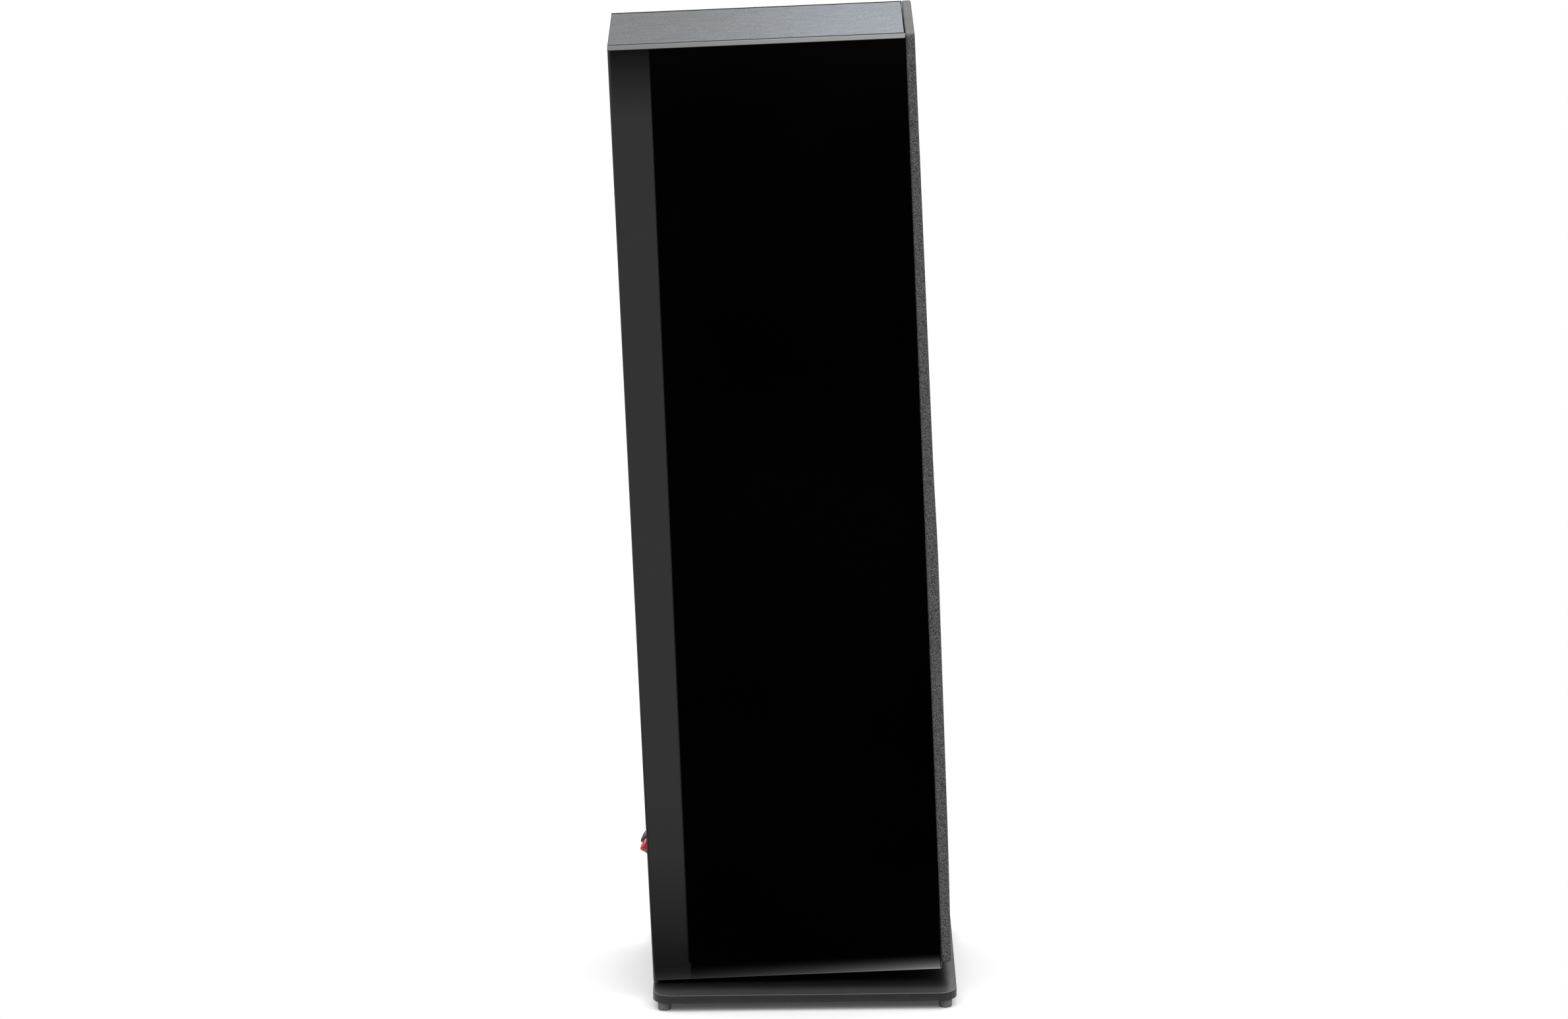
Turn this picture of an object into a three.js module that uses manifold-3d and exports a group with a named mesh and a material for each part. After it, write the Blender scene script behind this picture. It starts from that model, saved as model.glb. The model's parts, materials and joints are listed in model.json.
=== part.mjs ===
// Floorstanding loudspeaker: a ported three-way column that leans back on a steel plinth.
// Millimetres, +Z up, the front faces -Y. The origin is on the floor, at the centre of the outer box.
import * as THREE from 'three';
import { mergeVertices } from 'three/addons/utils/BufferGeometryUtils.js';
import Module from 'manifold-3d';

const wasm = await Module();
wasm.setup();

// ---------------------------------------------------------------- driving dimensions
const GAP = 0.3; // clearance between pieces that rest on each other

const CABINET_HEIGHT = 1014; // along the leaning axis
const CABINET_WIDTH = 212;
const SIDE_DEPTH = 309;
const PANEL = 18;
const LEAN = THREE.MathUtils.degToRad(1.84);
const LIP = 5; // side panel beside the top cover
const COVER_PLATE = 6;
const TOP_ROUND = 4.5;
const REAR_ROUND = 3;
const FRONT_ROUND = 1.5;
const BOTTOM_ROUND = 2;
const REAR_RECESS = 2; // rear panel behind the side panels' edges
const BOTTOM_RECESS = 2;

// The front baffle is a thin board with a slight bow: [height, thickness] down its face.
const BAFFLE_FACE = [[7.6, 10.3], [130, 12.0], [466, 13.3], [540, 11.8], [CABINET_HEIGHT, 9.8]];
const SHADOW_GAP = 1.2; // chamfer behind the baffle's edges

const PLINTH_WIDTH = 296;
const PLINTH_DEPTH = 324;
const PLINTH_THICKNESS = 9;
const PLINTH_CORNER = 18.5;
const PLINTH_BOTTOM = 9.5;
const PLINTH_TOP = PLINTH_BOTTOM + PLINTH_THICKNESS;
const CABINET_LIFT = PLINTH_TOP + 3; // height of the cabinet's bottom rear edge

const FOOT_RADIUS = 7;
const FOOT_INSET = 12.2; // foot centre to the plinth's edges
const STUD_RADIUS = 3;
const STUD_HOLE_RADIUS = 3.2;
const STUD_HOLE_DEPTH = 8;

const CONE_DRIVERS = [
  { name: 'woofer_lower', height: 385 },
  { name: 'woofer_upper', height: 575 },
  { name: 'midrange', height: 775 },
];
const TRIM_RADIUS = 87.6;
const BASKET_CUTOUT = 73;
const TWEETER_HEIGHT = 928;
const TWEETER_RADIUS = 52;
const TWEETER_CUTOUT = 37;
const PORT_HEIGHT = 190;
const PORT_RADIUS = 47.7;
const PORT_CUTOUT = 40;
const HOLE_CLEARANCE = 0.7; // baffle hole round each trim

const BRACE_HEIGHT = 473;
const BRACE_THICKNESS = 14;
const PARTITION_HEIGHT = 668;
const PARTITION_THICKNESS = 14;

const TERMINAL_HEIGHT = 112;
const TERMINAL_PLATE = 100;
const TERMINAL_CUTOUT = 86;
const POST_ANGLE = THREE.MathUtils.degToRad(30); // binding posts point up and out
const POST_SPACING = 30;
const POST_BASE = { y: -24.2, z: -3 }; // from the terminal cup's centre

const ROUND_STEPS = 24; // facets on the holes, trims and faceplate
const CONE_STEPS = 20; // facets on cones, surrounds and the port
const INNER_STEPS = 12; // facets on what lies behind the cones
const SMALL_STEPS = 12; // facets on the feet and the posts

// ---------------------------------------------------------------- finishes
const FINISH = {
  lacquer: { color: 0x060606, roughness: 0.05, metalness: 0 },
  vinyl: { color: 0x5a5f64, roughness: 0.7, metalness: 0 },
  grain: { color: 0x3c3c3f, roughness: 0.65, metalness: 0 },
  board: { color: 0xa98a66, roughness: 0.8, metalness: 0 },
  powder: { color: 0x2c2c2e, roughness: 0.55, metalness: 0.4 },
  rubber: { color: 0x1c1c1d, roughness: 0.8, metalness: 0 },
  blackPlastic: { color: 0x151516, roughness: 0.45, metalness: 0 },
  redPlastic: { color: 0xb0201c, roughness: 0.4, metalness: 0 },
  cone: { color: 0x232427, roughness: 0.5, metalness: 0 },
  steel: { color: 0x9a9a9c, roughness: 0.35, metalness: 1 },
  castMetal: { color: 0x4a4a4c, roughness: 0.5, metalness: 0.8 },
  brass: { color: 0xc9a24b, roughness: 0.3, metalness: 1 },
  copper: { color: 0xb4683a, roughness: 0.4, metalness: 0.9 },
  cloth: { color: 0xb09a5c, roughness: 0.9, metalness: 0 },
  foam: { color: 0xcfcabb, roughness: 0.95, metalness: 0 },
  circuit: { color: 0x2d5b38, roughness: 0.6, metalness: 0 },
};

// ---------------------------------------------------------------- geometry helpers
function toSolid(geometry) {
  geometry.deleteAttribute('normal');
  geometry.deleteAttribute('uv');
  const merged = mergeVertices(geometry);
  const corners = merged.index.array;
  const triangles = [];
  for (let i = 0; i < corners.length; i += 3) {
    const [a, b, c] = [corners[i], corners[i + 1], corners[i + 2]];
    if (a !== b && b !== c && c !== a) triangles.push(a, b, c);
  }
  return new wasm.Manifold(new wasm.Mesh({
    numProp: 3,
    vertProperties: merged.attributes.position.array,
    triVerts: new Uint32Array(triangles),
  }));
}

function toGeometry(solid) {
  const { vertProperties, triVerts } = solid.getMesh();
  const geometry = new THREE.BufferGeometry();
  geometry.setAttribute('position', new THREE.BufferAttribute(vertProperties, 3));
  geometry.setIndex(new THREE.BufferAttribute(triVerts, 1));
  geometry.computeVertexNormals();
  return geometry;
}

function cut(base, tools) {
  return toGeometry(tools.reduce((solid, tool) => solid.subtract(toSolid(tool)), toSolid(base)));
}

function join(base, additions) {
  return toGeometry(additions.reduce((solid, extra) => solid.add(toSolid(extra)), toSolid(base)));
}

function common(first, second) {
  return toGeometry(toSolid(first).intersect(toSolid(second)));
}

function arc(centreX, centreY, radius, startDegrees, endDegrees, steps) {
  const points = [];
  for (let i = 0; i <= steps; i += 1) {
    const angle = THREE.MathUtils.degToRad(startDegrees + ((endDegrees - startDegrees) * i) / steps);
    points.push([centreX + radius * Math.cos(angle), centreY + radius * Math.sin(angle)]);
  }
  return points;
}

function roundedRectangle(width, depth, radius, steps) {
  const x = width / 2 - radius;
  const y = depth / 2 - radius;
  return [
    ...arc(x, y, radius, 0, 90, steps),
    ...arc(-x, y, radius, 90, 180, steps),
    ...arc(-x, -y, radius, 180, 270, steps),
    ...arc(x, -y, radius, 270, 360, steps),
  ];
}

function prism(outline, length) {
  const shape = new THREE.Shape(outline.map(([u, v]) => new THREE.Vector2(u, v)));
  return new THREE.ExtrudeGeometry(shape, { depth: length, bevelEnabled: false });
}

// Prisms along each axis: the outline is in the other two axes, in X, Y, Z order.
function prismZ(outline, low, high) {
  return prism(outline, high - low).translate(0, 0, low);
}

function prismY(outline, low, high) {
  return prism(outline, high - low).rotateX(Math.PI / 2).translate(0, high, 0);
}

function prismX(outline, low, high) {
  const turn = new THREE.Matrix4().makeBasis(
    new THREE.Vector3(0, 1, 0),
    new THREE.Vector3(0, 0, 1),
    new THREE.Vector3(1, 0, 0),
  );
  return prism(outline, high - low).applyMatrix4(turn).translate(low, 0, 0);
}

function block(x, y, z) {
  return new THREE.BoxGeometry(x[1] - x[0], y[1] - y[0], z[1] - z[0]).translate(
    (x[0] + x[1]) / 2,
    (y[0] + y[1]) / 2,
    (z[0] + z[1]) / 2,
  );
}

// A body of revolution about Y from [radius, axial] points. A profile that leaves the axis
// and returns to it is capped there; any other is a ring, and closes on itself.
function revolve(profile, steps) {
  const count = profile.length;
  const area = profile.reduce((sum, [r, a], i) => {
    const [nextR, nextA] = profile[(i + 1) % count];
    return sum + r * nextA - nextR * a;
  }, 0);
  const ordered = area > 0 ? [...profile] : [...profile].reverse();
  if (ordered[0][0] > 0) ordered.push(ordered[0]);
  return new THREE.LatheGeometry(ordered.map(([r, a]) => new THREE.Vector2(r, a)), steps);
}

function revolveForward(profile, steps = ROUND_STEPS) {
  return toGeometry(toSolid(revolve(profile, steps).rotateX(Math.PI)));
}

function revolveUp(profile, steps = SMALL_STEPS) {
  return toGeometry(toSolid(revolve(profile, steps).rotateX(Math.PI / 2)));
}

function revolveOut(profile, steps = SMALL_STEPS) {
  return toGeometry(toSolid(revolve(profile, steps)));
}

function disc(radius, low, high) {
  return [[0, low], [radius, low], [radius, high], [0, high]];
}

function tube(inner, outer, low, high) {
  return [[inner, low], [outer, low], [outer, high], [inner, high]];
}

// A hole along Y through the baffle boards, about a driver's axis.
function baffleHole(radius, height) {
  const reach = PANEL + 20;
  return revolve(disc(radius, -reach, reach), ROUND_STEPS).translate(0, -SIDE_DEPTH, height);
}

function piece(parent, name, geometry, finish) {
  const mesh = new THREE.Mesh(geometry, new THREE.MeshStandardMaterial(FINISH[finish]));
  mesh.name = name;
  parent.add(mesh);
  return mesh;
}

function groupAt(parent, x, y, z) {
  const group = new THREE.Group();
  group.position.set(x, y, z);
  parent.add(group);
  return group;
}

function baffleThickness(height) {
  const last = BAFFLE_FACE.length - 1;
  const upper = Math.min(last, Math.max(1, BAFFLE_FACE.findIndex(([z]) => z >= height)));
  const [lowZ, lowT] = BAFFLE_FACE[upper - 1];
  const [highZ, highT] = BAFFLE_FACE[upper];
  return THREE.MathUtils.mapLinear(height, lowZ, highZ, lowT, highT);
}

// How far a flat round trim can stand forward without passing the bowed face.
function flushDepth(height, radius) {
  return Math.min(baffleThickness(height - radius), baffleThickness(height + radius));
}

// ---------------------------------------------------------------- cabinet
const halfWidth = CABINET_WIDTH / 2;
const innerHalf = halfWidth - PANEL;
const fitHalf = innerHalf - GAP; // pieces that stand between the side panels
const coverBottom = CABINET_HEIGHT - PANEL;
const floorTop = BOTTOM_RECESS + PANEL;

// side is -1 for the left panel and 1 for the right one.
function sidePanel(side) {
  const lipInner = halfWidth - LIP;
  const section = [
    [innerHalf, 0],
    ...arc(halfWidth - BOTTOM_ROUND, BOTTOM_ROUND, BOTTOM_ROUND, -90, 0, 3),
    ...arc(halfWidth - TOP_ROUND, CABINET_HEIGHT - TOP_ROUND, TOP_ROUND, 0, 90, 5),
    [lipInner, CABINET_HEIGHT],
    [lipInner, CABINET_HEIGHT - COVER_PLATE],
    [innerHalf, CABINET_HEIGHT - COVER_PLATE],
  ];
  const plan = [
    [innerHalf, -SIDE_DEPTH],
    ...arc(halfWidth - FRONT_ROUND, FRONT_ROUND - SIDE_DEPTH, FRONT_ROUND, -90, 0, 2),
    ...arc(halfWidth - REAR_ROUND, -REAR_ROUND, REAR_ROUND, 0, 90, 3),
    [innerHalf, 0],
  ];
  const mirrored = (outline) => outline.map(([x, other]) => [side * x, other]);
  return common(
    prismY(mirrored(section), -SIDE_DEPTH, 0),
    prismZ(mirrored(plan), -1, CABINET_HEIGHT + 1),
  );
}

function topCover() {
  const plateHalf = halfWidth - LIP - GAP;
  const shoulder = CABINET_HEIGHT - COVER_PLATE + GAP;
  const section = [
    [-fitHalf, coverBottom],
    [fitHalf, coverBottom],
    [fitHalf, shoulder],
    [plateHalf, shoulder],
    [plateHalf, CABINET_HEIGHT],
    [-plateHalf, CABINET_HEIGHT],
    [-plateHalf, shoulder],
    [-fitHalf, shoulder],
  ];
  return prismY(section, -SIDE_DEPTH, 0);
}

function bottomPanel() {
  return block([-fitHalf, fitHalf], [-SIDE_DEPTH, -REAR_RECESS], [BOTTOM_RECESS, floorTop]);
}

const rearInner = -REAR_RECESS - PANEL; // inside face of the rear panel
const subBaffleInner = PANEL - SIDE_DEPTH; // inside face of the sub-baffle

function rearPanel() {
  const half = TERMINAL_CUTOUT / 2;
  const board = block([-fitHalf, fitHalf], [rearInner, -REAR_RECESS], [floorTop + GAP, coverBottom - GAP]);
  const opening = block(
    [-half, half],
    [rearInner - 5, 5],
    [TERMINAL_HEIGHT - half, TERMINAL_HEIGHT + half],
  );
  return cut(board, [opening]);
}

function driverHoles(coneRadius, tweeterRadius, portRadius) {
  return [
    ...CONE_DRIVERS.map(({ height }) => baffleHole(coneRadius, height)),
    baffleHole(tweeterRadius, TWEETER_HEIGHT),
    baffleHole(portRadius, PORT_HEIGHT),
  ];
}

function subBaffle() {
  const board = block(
    [-fitHalf, fitHalf],
    [-SIDE_DEPTH, subBaffleInner],
    [floorTop + GAP, coverBottom - GAP],
  );
  return cut(board, driverHoles(BASKET_CUTOUT, TWEETER_CUTOUT, PORT_CUTOUT));
}

function frontBaffle() {
  const back = -SIDE_DEPTH - GAP;
  const front = back - 20;
  const profile = [
    [back, BAFFLE_FACE[0][0]],
    ...BAFFLE_FACE.map(([height, thickness]) => [-SIDE_DEPTH - thickness, height]),
    [back, CABINET_HEIGHT],
  ];
  const plan = [
    [SHADOW_GAP - halfWidth, back],
    [-halfWidth, back - SHADOW_GAP],
    [-halfWidth, front],
    [halfWidth, front],
    [halfWidth, back - SHADOW_GAP],
    [halfWidth - SHADOW_GAP, back],
  ];
  const board = common(prismX(profile, -halfWidth, halfWidth), prismZ(plan, 0, CABINET_HEIGHT + 1));
  return cut(board, driverHoles(
    TRIM_RADIUS + HOLE_CLEARANCE,
    TWEETER_RADIUS + HOLE_CLEARANCE,
    PORT_RADIUS + HOLE_CLEARANCE,
  ));
}

const shelfY = [subBaffleInner + GAP, rearInner - GAP];
const LOOM_PASSAGE = { x: 62, y: -62, radius: 8 };

function windowBrace() {
  const plate = block([-fitHalf, fitHalf], shelfY, [BRACE_HEIGHT, BRACE_HEIGHT + BRACE_THICKNESS]);
  const middle = (shelfY[0] + shelfY[1]) / 2;
  const window = prismZ(roundedRectangle(150, 210, 20, 4), BRACE_HEIGHT - 1, BRACE_HEIGHT + PANEL);
  return cut(plate, [window.translate(0, middle, 0)]);
}

function chamberPartition() {
  const top = PARTITION_HEIGHT + PARTITION_THICKNESS;
  const plate = block([-fitHalf, fitHalf], shelfY, [PARTITION_HEIGHT, top]);
  const passage = new THREE.CylinderGeometry(LOOM_PASSAGE.radius, LOOM_PASSAGE.radius, 3 * PANEL, 12)
    .rotateX(Math.PI / 2)
    .translate(LOOM_PASSAGE.x, LOOM_PASSAGE.y, PARTITION_HEIGHT);
  return cut(plate, [passage]);
}

function dampingPad() {
  const thickness = 25;
  const outline = roundedRectangle(160, 160, 12, 3);
  const centre = (BRACE_HEIGHT + BRACE_THICKNESS + PARTITION_HEIGHT) / 2;
  return prismY(outline, -thickness, 0).translate(-6, rearInner - GAP, centre);
}

// ---------------------------------------------------------------- cone drivers
// Profiles are [radius, forward] from the sub-baffle's front face, on the driver's axis.
const FLANGE_FRONT = 4.8;
const ROLL = { centre: 65, radius: 6.5, thickness: 1.2, base: FLANGE_FRONT + GAP, lipOuter: 76, lipInner: 54.5 };
const CONE_EDGE = 58.3;
const CONE_NECK = 17.3;
const CONE_DEPTH = -22;
const COIL = { inner: 15.5, outer: 16.4, winding: 17, top: -17, bottom: -72, windingTop: -60 };

function trimRing(front) {
  const seat = FLANGE_FRONT + GAP;
  const overLip = ROLL.base + ROLL.thickness + GAP;
  return [
    [TRIM_RADIUS, seat],
    [TRIM_RADIUS, front - 1],
    [TRIM_RADIUS - 1, front],
    [TRIM_RADIUS - 8, front],
    [73, front - 2.2],
    [72.6, overLip],
    [ROLL.lipOuter + 1.2, overLip],
    [ROLL.lipOuter + 1.2, seat],
  ];
}

const BASKET_PROFILE = [
  [TRIM_RADIUS - 0.6, GAP],
  [TRIM_RADIUS - 0.6, FLANGE_FRONT],
  [69, FLANGE_FRONT],
  [69, -10],
  [42.5, -58],
  [42.5, -62.5],
  [20, -62.5],
  [20, -66],
  [46, -66],
  [46, -60],
  [BASKET_CUTOUT - 0.8, -12],
  [BASKET_CUTOUT - 0.8, GAP],
];

function basket() {
  const windows = [45, 135, 225, 315].map((degrees) => new THREE.BoxGeometry(44, 32, 60)
    .translate(0, -35, 62)
    .rotateY(THREE.MathUtils.degToRad(degrees)));
  return cut(revolve(BASKET_PROFILE, INNER_STEPS), windows).rotateX(Math.PI);
}

function surroundProfile() {
  const { centre, radius, thickness, base, lipOuter, lipInner } = ROLL;
  const inner = radius - thickness;
  return [
    [lipOuter, base],
    [lipOuter, base + thickness],
    ...arc(centre, base + thickness, radius, 0, 180, 3),
    [lipInner, base + thickness],
    [lipInner, base],
    [centre - inner, base],
    ...arc(centre, base + thickness, inner, 180, 0, 3).slice(1, -1),
    [centre + inner, base],
  ];
}

const CONE_PROFILE = [
  [CONE_EDGE, FLANGE_FRONT],
  [54.5, FLANGE_FRONT],
  [CONE_NECK, CONE_DEPTH + 1.5],
  [CONE_NECK, CONE_DEPTH - 2],
  [CONE_NECK + 1.4, CONE_DEPTH - 2],
  [CONE_EDGE, FLANGE_FRONT - 1.6],
];

function dustCapProfile() {
  const [radius, height, thickness, seat] = [24, 8, 1, -15.2];
  const bend = (radius ** 2 + height ** 2) / (2 * height);
  const dome = (bendRadius, steps) => {
    const reach = THREE.MathUtils.radToDeg(Math.asin(radius / bend));
    return arc(0, seat + height - bend, bendRadius, 90 - reach, 90, steps);
  };
  const outside = dome(bend, 3);
  const inside = dome(bend - thickness, 3).reverse();
  inside[0][0] = 0;
  outside[outside.length - 1][0] = 0;
  return [...outside, ...inside];
}

const VOICE_COIL_PROFILE = [
  [COIL.inner, COIL.bottom],
  [COIL.winding, COIL.bottom],
  [COIL.winding, COIL.windingTop],
  [COIL.outer, COIL.windingTop],
  [COIL.outer, COIL.top],
  [COIL.inner, COIL.top],
];

const SPIDER_PROFILE = [
  [17.4, -54.6],
  [31, -56],
  [44, -54.6],
  [44, -53.4],
  [31, -54.8],
  [17.4, -53.4],
];

const MOTOR_PROFILE = [
  [5, -101],
  [42, -101],
  [42, -95],
  [45, -95],
  [45, -76],
  [42, -76],
  [42, -66.3],
  [17.7, -66.3],
  [17.7, -72.3],
  [24, -72.3],
  [24, -95],
  [14.8, -95],
  [14.8, -64],
  [5, -64],
];

function addConeDriver(cabinet, { name, height }) {
  const driver = groupAt(cabinet, 0, -SIDE_DEPTH, height);
  const front = flushDepth(height, TRIM_RADIUS);
  piece(driver, `${name}_trim_ring`, revolveForward(trimRing(front)), 'blackPlastic');
  piece(driver, `${name}_basket`, basket(), 'castMetal');
  piece(driver, `${name}_surround`, revolveForward(surroundProfile(), CONE_STEPS), 'rubber');
  piece(driver, `${name}_cone`, revolveForward(CONE_PROFILE, CONE_STEPS), 'cone');
  piece(driver, `${name}_dust_cap`, revolveForward(dustCapProfile(), CONE_STEPS), 'cone');
  piece(driver, `${name}_voice_coil`, revolveForward(VOICE_COIL_PROFILE, INNER_STEPS), 'copper');
  piece(driver, `${name}_spider`, revolveForward(SPIDER_PROFILE, INNER_STEPS), 'cloth');
  piece(driver, `${name}_motor`, revolveForward(MOTOR_PROFILE, INNER_STEPS), 'steel');
}

// ---------------------------------------------------------------- tweeter
const THROAT = 16.4;
const DOME = { edge: 15.6, rollInner: 12.9, base: 1.2, crown: 4.8, thickness: 0.5 };
const GUARD_INNER = 17.4;

function faceplateProfile(front) {
  return [
    [TWEETER_RADIUS, GAP],
    [TWEETER_RADIUS, front - 0.8],
    [TWEETER_RADIUS - 0.8, front],
    [40, front],
    [30, front - 1.6],
    [GUARD_INNER + 2, 5.2],
    [THROAT, 4.4],
    [THROAT, GAP],
  ];
}

function domeProfile() {
  const { edge, rollInner, base, crown, thickness } = DOME;
  const rise = crown - base;
  const bend = (rollInner ** 2 + rise ** 2) / (2 * rise);
  const reach = THREE.MathUtils.radToDeg(Math.asin(rollInner / bend));
  const skin = (lift, bendRadius) => {
    const cap = arc(0, crown - bend, bendRadius, 90 - reach, 90, 3);
    cap[cap.length - 1][0] = 0;
    return [[edge, base + lift], [(edge + rollInner) / 2, base + lift + 0.9], ...cap];
  };
  return [...skin(thickness, bend + thickness), ...skin(0, bend).reverse()];
}

// A ring and three thin spokes in front of the dome.
function guard() {
  const [outer, inner, back, front] = [GUARD_INNER + 3, GUARD_INNER, 5.8, 7.4];
  const ring = revolve(tube(inner, outer, back, front), ROUND_STEPS);
  const hub = revolve(disc(2.5, back, front), ROUND_STEPS);
  const spokes = [0, 120, 240].map((degrees) => new THREE.BoxGeometry(inner, front - back, 1.2)
    .translate(inner / 2 + 1, (front + back) / 2, 0)
    .rotateY(THREE.MathUtils.degToRad(degrees)));
  return join(ring, [hub, ...spokes]).rotateX(Math.PI);
}

const TWEETER_MOTOR_PROFILE = [
  [2.5, -36],
  [34, -36],
  [34, -GAP],
  [13.5, -GAP],
  [13.5, -4.5],
  [18, -4.5],
  [18, -30],
  [11.1, -30],
  [11.1, -0.8],
  [2.5, -0.8],
];

function addTweeter(cabinet) {
  const tweeter = groupAt(cabinet, 0, -SIDE_DEPTH, TWEETER_HEIGHT);
  const front = flushDepth(TWEETER_HEIGHT, TWEETER_RADIUS);
  piece(tweeter, 'tweeter_faceplate', revolveForward(faceplateProfile(front)), 'blackPlastic');
  const coil = tube(11.9, 12.6, -5, DOME.base - GAP);
  piece(tweeter, 'tweeter_dome', revolveForward(domeProfile(), INNER_STEPS), 'cone');
  piece(tweeter, 'tweeter_voice_coil', revolveForward(coil, INNER_STEPS), 'copper');
  piece(tweeter, 'tweeter_motor', revolveForward(TWEETER_MOTOR_PROFILE, INNER_STEPS), 'steel');
  piece(tweeter, 'tweeter_guard', guard(), 'blackPlastic');
}

// ---------------------------------------------------------------- bass reflex port
const PORT_BORE = 32;
const PORT_WALL = 3;
const PORT_LENGTH = 150;

// The bore flares at its mouth and again at its inner end.
function portProfile() {
  const front = flushDepth(PORT_HEIGHT, PORT_RADIUS);
  const flare = 11;
  const flareCentre = front - flare;
  const end = -PORT_LENGTH;
  return [
    [PORT_RADIUS, GAP],
    [PORT_RADIUS, front],
    ...arc(PORT_BORE + flare, flareCentre, flare, 90, 180, 3),
    [PORT_BORE, end + 12],
    [PORT_BORE + 5, end],
    [PORT_BORE + 5 + PORT_WALL, end],
    [PORT_BORE + PORT_WALL, end + 13],
    [PORT_BORE + PORT_WALL, GAP],
  ];
}

// ---------------------------------------------------------------- terminal cup and binding posts
const CUP_WALL = 2.5;
const CUP_HALF_WIDTH = 40;
const COLLAR = { radius: 8, length: 8 };

function alongPost(geometry, x) {
  return geometry.rotateX(POST_ANGLE).translate(x, POST_BASE.y, POST_BASE.z);
}

// Outlines are [y, z] from the cup's centre; the sloping wall is square to the posts.
function terminalCup() {
  const slope = Math.tan(POST_ANGLE);
  const floor = -38;
  const shelf = 32;
  const plateBack = GAP - REAR_RECESS;
  const plateFront = plateBack + 2;
  const wallAt = (z) => POST_BASE.y - (z - POST_BASE.z) * slope;
  const wallShift = CUP_WALL / Math.cos(POST_ANGLE);
  const cavity = [
    [plateFront + 1, floor],
    [wallAt(floor), floor],
    [wallAt(shelf), shelf],
    [plateFront + 1, -floor],
  ];
  const low = floor - CUP_WALL;
  const high = shelf + 3;
  const shell = [
    [plateBack + 0.5, low],
    [wallAt(low) - wallShift, low],
    [wallAt(high) - wallShift, high],
    [plateBack + 0.5, -floor + CUP_WALL],
  ];
  const outer = CUP_HALF_WIDTH + CUP_WALL;
  const plate = prismY(roundedRectangle(TERMINAL_PLATE, TERMINAL_PLATE, 8, 3), plateBack, plateFront);
  const posts = [-POST_SPACING / 2, POST_SPACING / 2];
  const hollow = prismX(cavity, -CUP_HALF_WIDTH, CUP_HALF_WIDTH);
  const body = cut(join(plate, [prismX(shell, -outer, outer)]), [hollow]);
  const collars = posts.map((x) => alongPost(revolve(disc(COLLAR.radius, -1, COLLAR.length), SMALL_STEPS), x));
  const holes = posts.map((x) => alongPost(revolve(disc(STUD_RADIUS + 0.4, -20, 20), SMALL_STEPS), x));
  return cut(join(body, collars), holes);
}

// A hollow stud takes a 4 mm plug, and its cross hole takes bare wire.
function postStud() {
  const socket = 2.1;
  const profile = [[0, -10], [STUD_RADIUS, -10], [STUD_RADIUS, 34], [socket, 34], [socket, 15], [0, 15]];
  const crossHole = new THREE.CylinderGeometry(1.2, 1.2, 20, 10).rotateZ(Math.PI / 2).translate(0, 11.5, 0);
  return cut(revolve(profile, SMALL_STEPS), [crossHole]);
}

const WASHER_PROFILE = tube(STUD_RADIUS + 0.4, 7, COLLAR.length + GAP, COLLAR.length + 2.3);

const CAP_PROFILE = [
  [STUD_RADIUS + 0.4, COLLAR.length + 2.6],
  [7, COLLAR.length + 2.6],
  [7.6, COLLAR.length + 4],
  [7.6, 34],
  [6.2, 36],
  [STUD_RADIUS + 0.4, 36],
];

function addTerminal(cabinet) {
  const terminal = groupAt(cabinet, 0, 0, TERMINAL_HEIGHT);
  piece(terminal, 'terminal_cup', terminalCup(), 'blackPlastic');
  const sides = [
    { name: 'positive', x: -POST_SPACING / 2, finish: 'redPlastic' },
    { name: 'negative', x: POST_SPACING / 2, finish: 'blackPlastic' },
  ];
  for (const { name, x, finish } of sides) {
    const post = groupAt(terminal, x, POST_BASE.y, POST_BASE.z);
    post.rotation.x = POST_ANGLE;
    piece(post, `${name}_post_stud`, postStud(), 'brass');
    piece(post, `${name}_post_washer`, revolveOut(WASHER_PROFILE), 'brass');
    piece(post, `${name}_post_cap`, revolveOut(CAP_PROFILE), finish);
  }
}

// ---------------------------------------------------------------- crossover and wiring
const BOARD = { width: 120, height: 150, centre: 285, thickness: 2, standOff: 9 };

// The board carries its capacitors and resistors on its front, and stands on four pillars.
function crossoverBoard() {
  const back = rearInner - GAP - BOARD.standOff;
  const front = back - BOARD.thickness;
  const plate = block(
    [-BOARD.width / 2, BOARD.width / 2],
    [front, back],
    [BOARD.centre - BOARD.height / 2, BOARD.centre + BOARD.height / 2],
  );
  const pillars = [-1, 1].flatMap((x) => [-1, 1].map((z) => revolve(disc(4, 0, BOARD.standOff + 0.5), 8)
    .translate(x * (BOARD.width / 2 - 8), back - 0.5, BOARD.centre + z * (BOARD.height / 2 - 8))));
  const capacitors = [-38, 0, 38].map((x) => new THREE.CylinderGeometry(11, 11, 42, 12)
    .rotateX(Math.PI / 2)
    .translate(x, front - 10, BOARD.centre + 38));
  const resistors = [-44, -20].map((z) => block(
    [28, 52],
    [front - 8, front + 0.5],
    [BOARD.centre + z - 5, BOARD.centre + z + 5],
  ));
  return join(plate, [...pillars, ...capacitors, ...resistors]);
}

function crossoverInductor() {
  const seat = rearInner - GAP - BOARD.standOff - BOARD.thickness - GAP;
  return revolveForward(tube(13, 30, 0, 22), 20).translate(-22, seat, BOARD.centre - 32);
}

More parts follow.
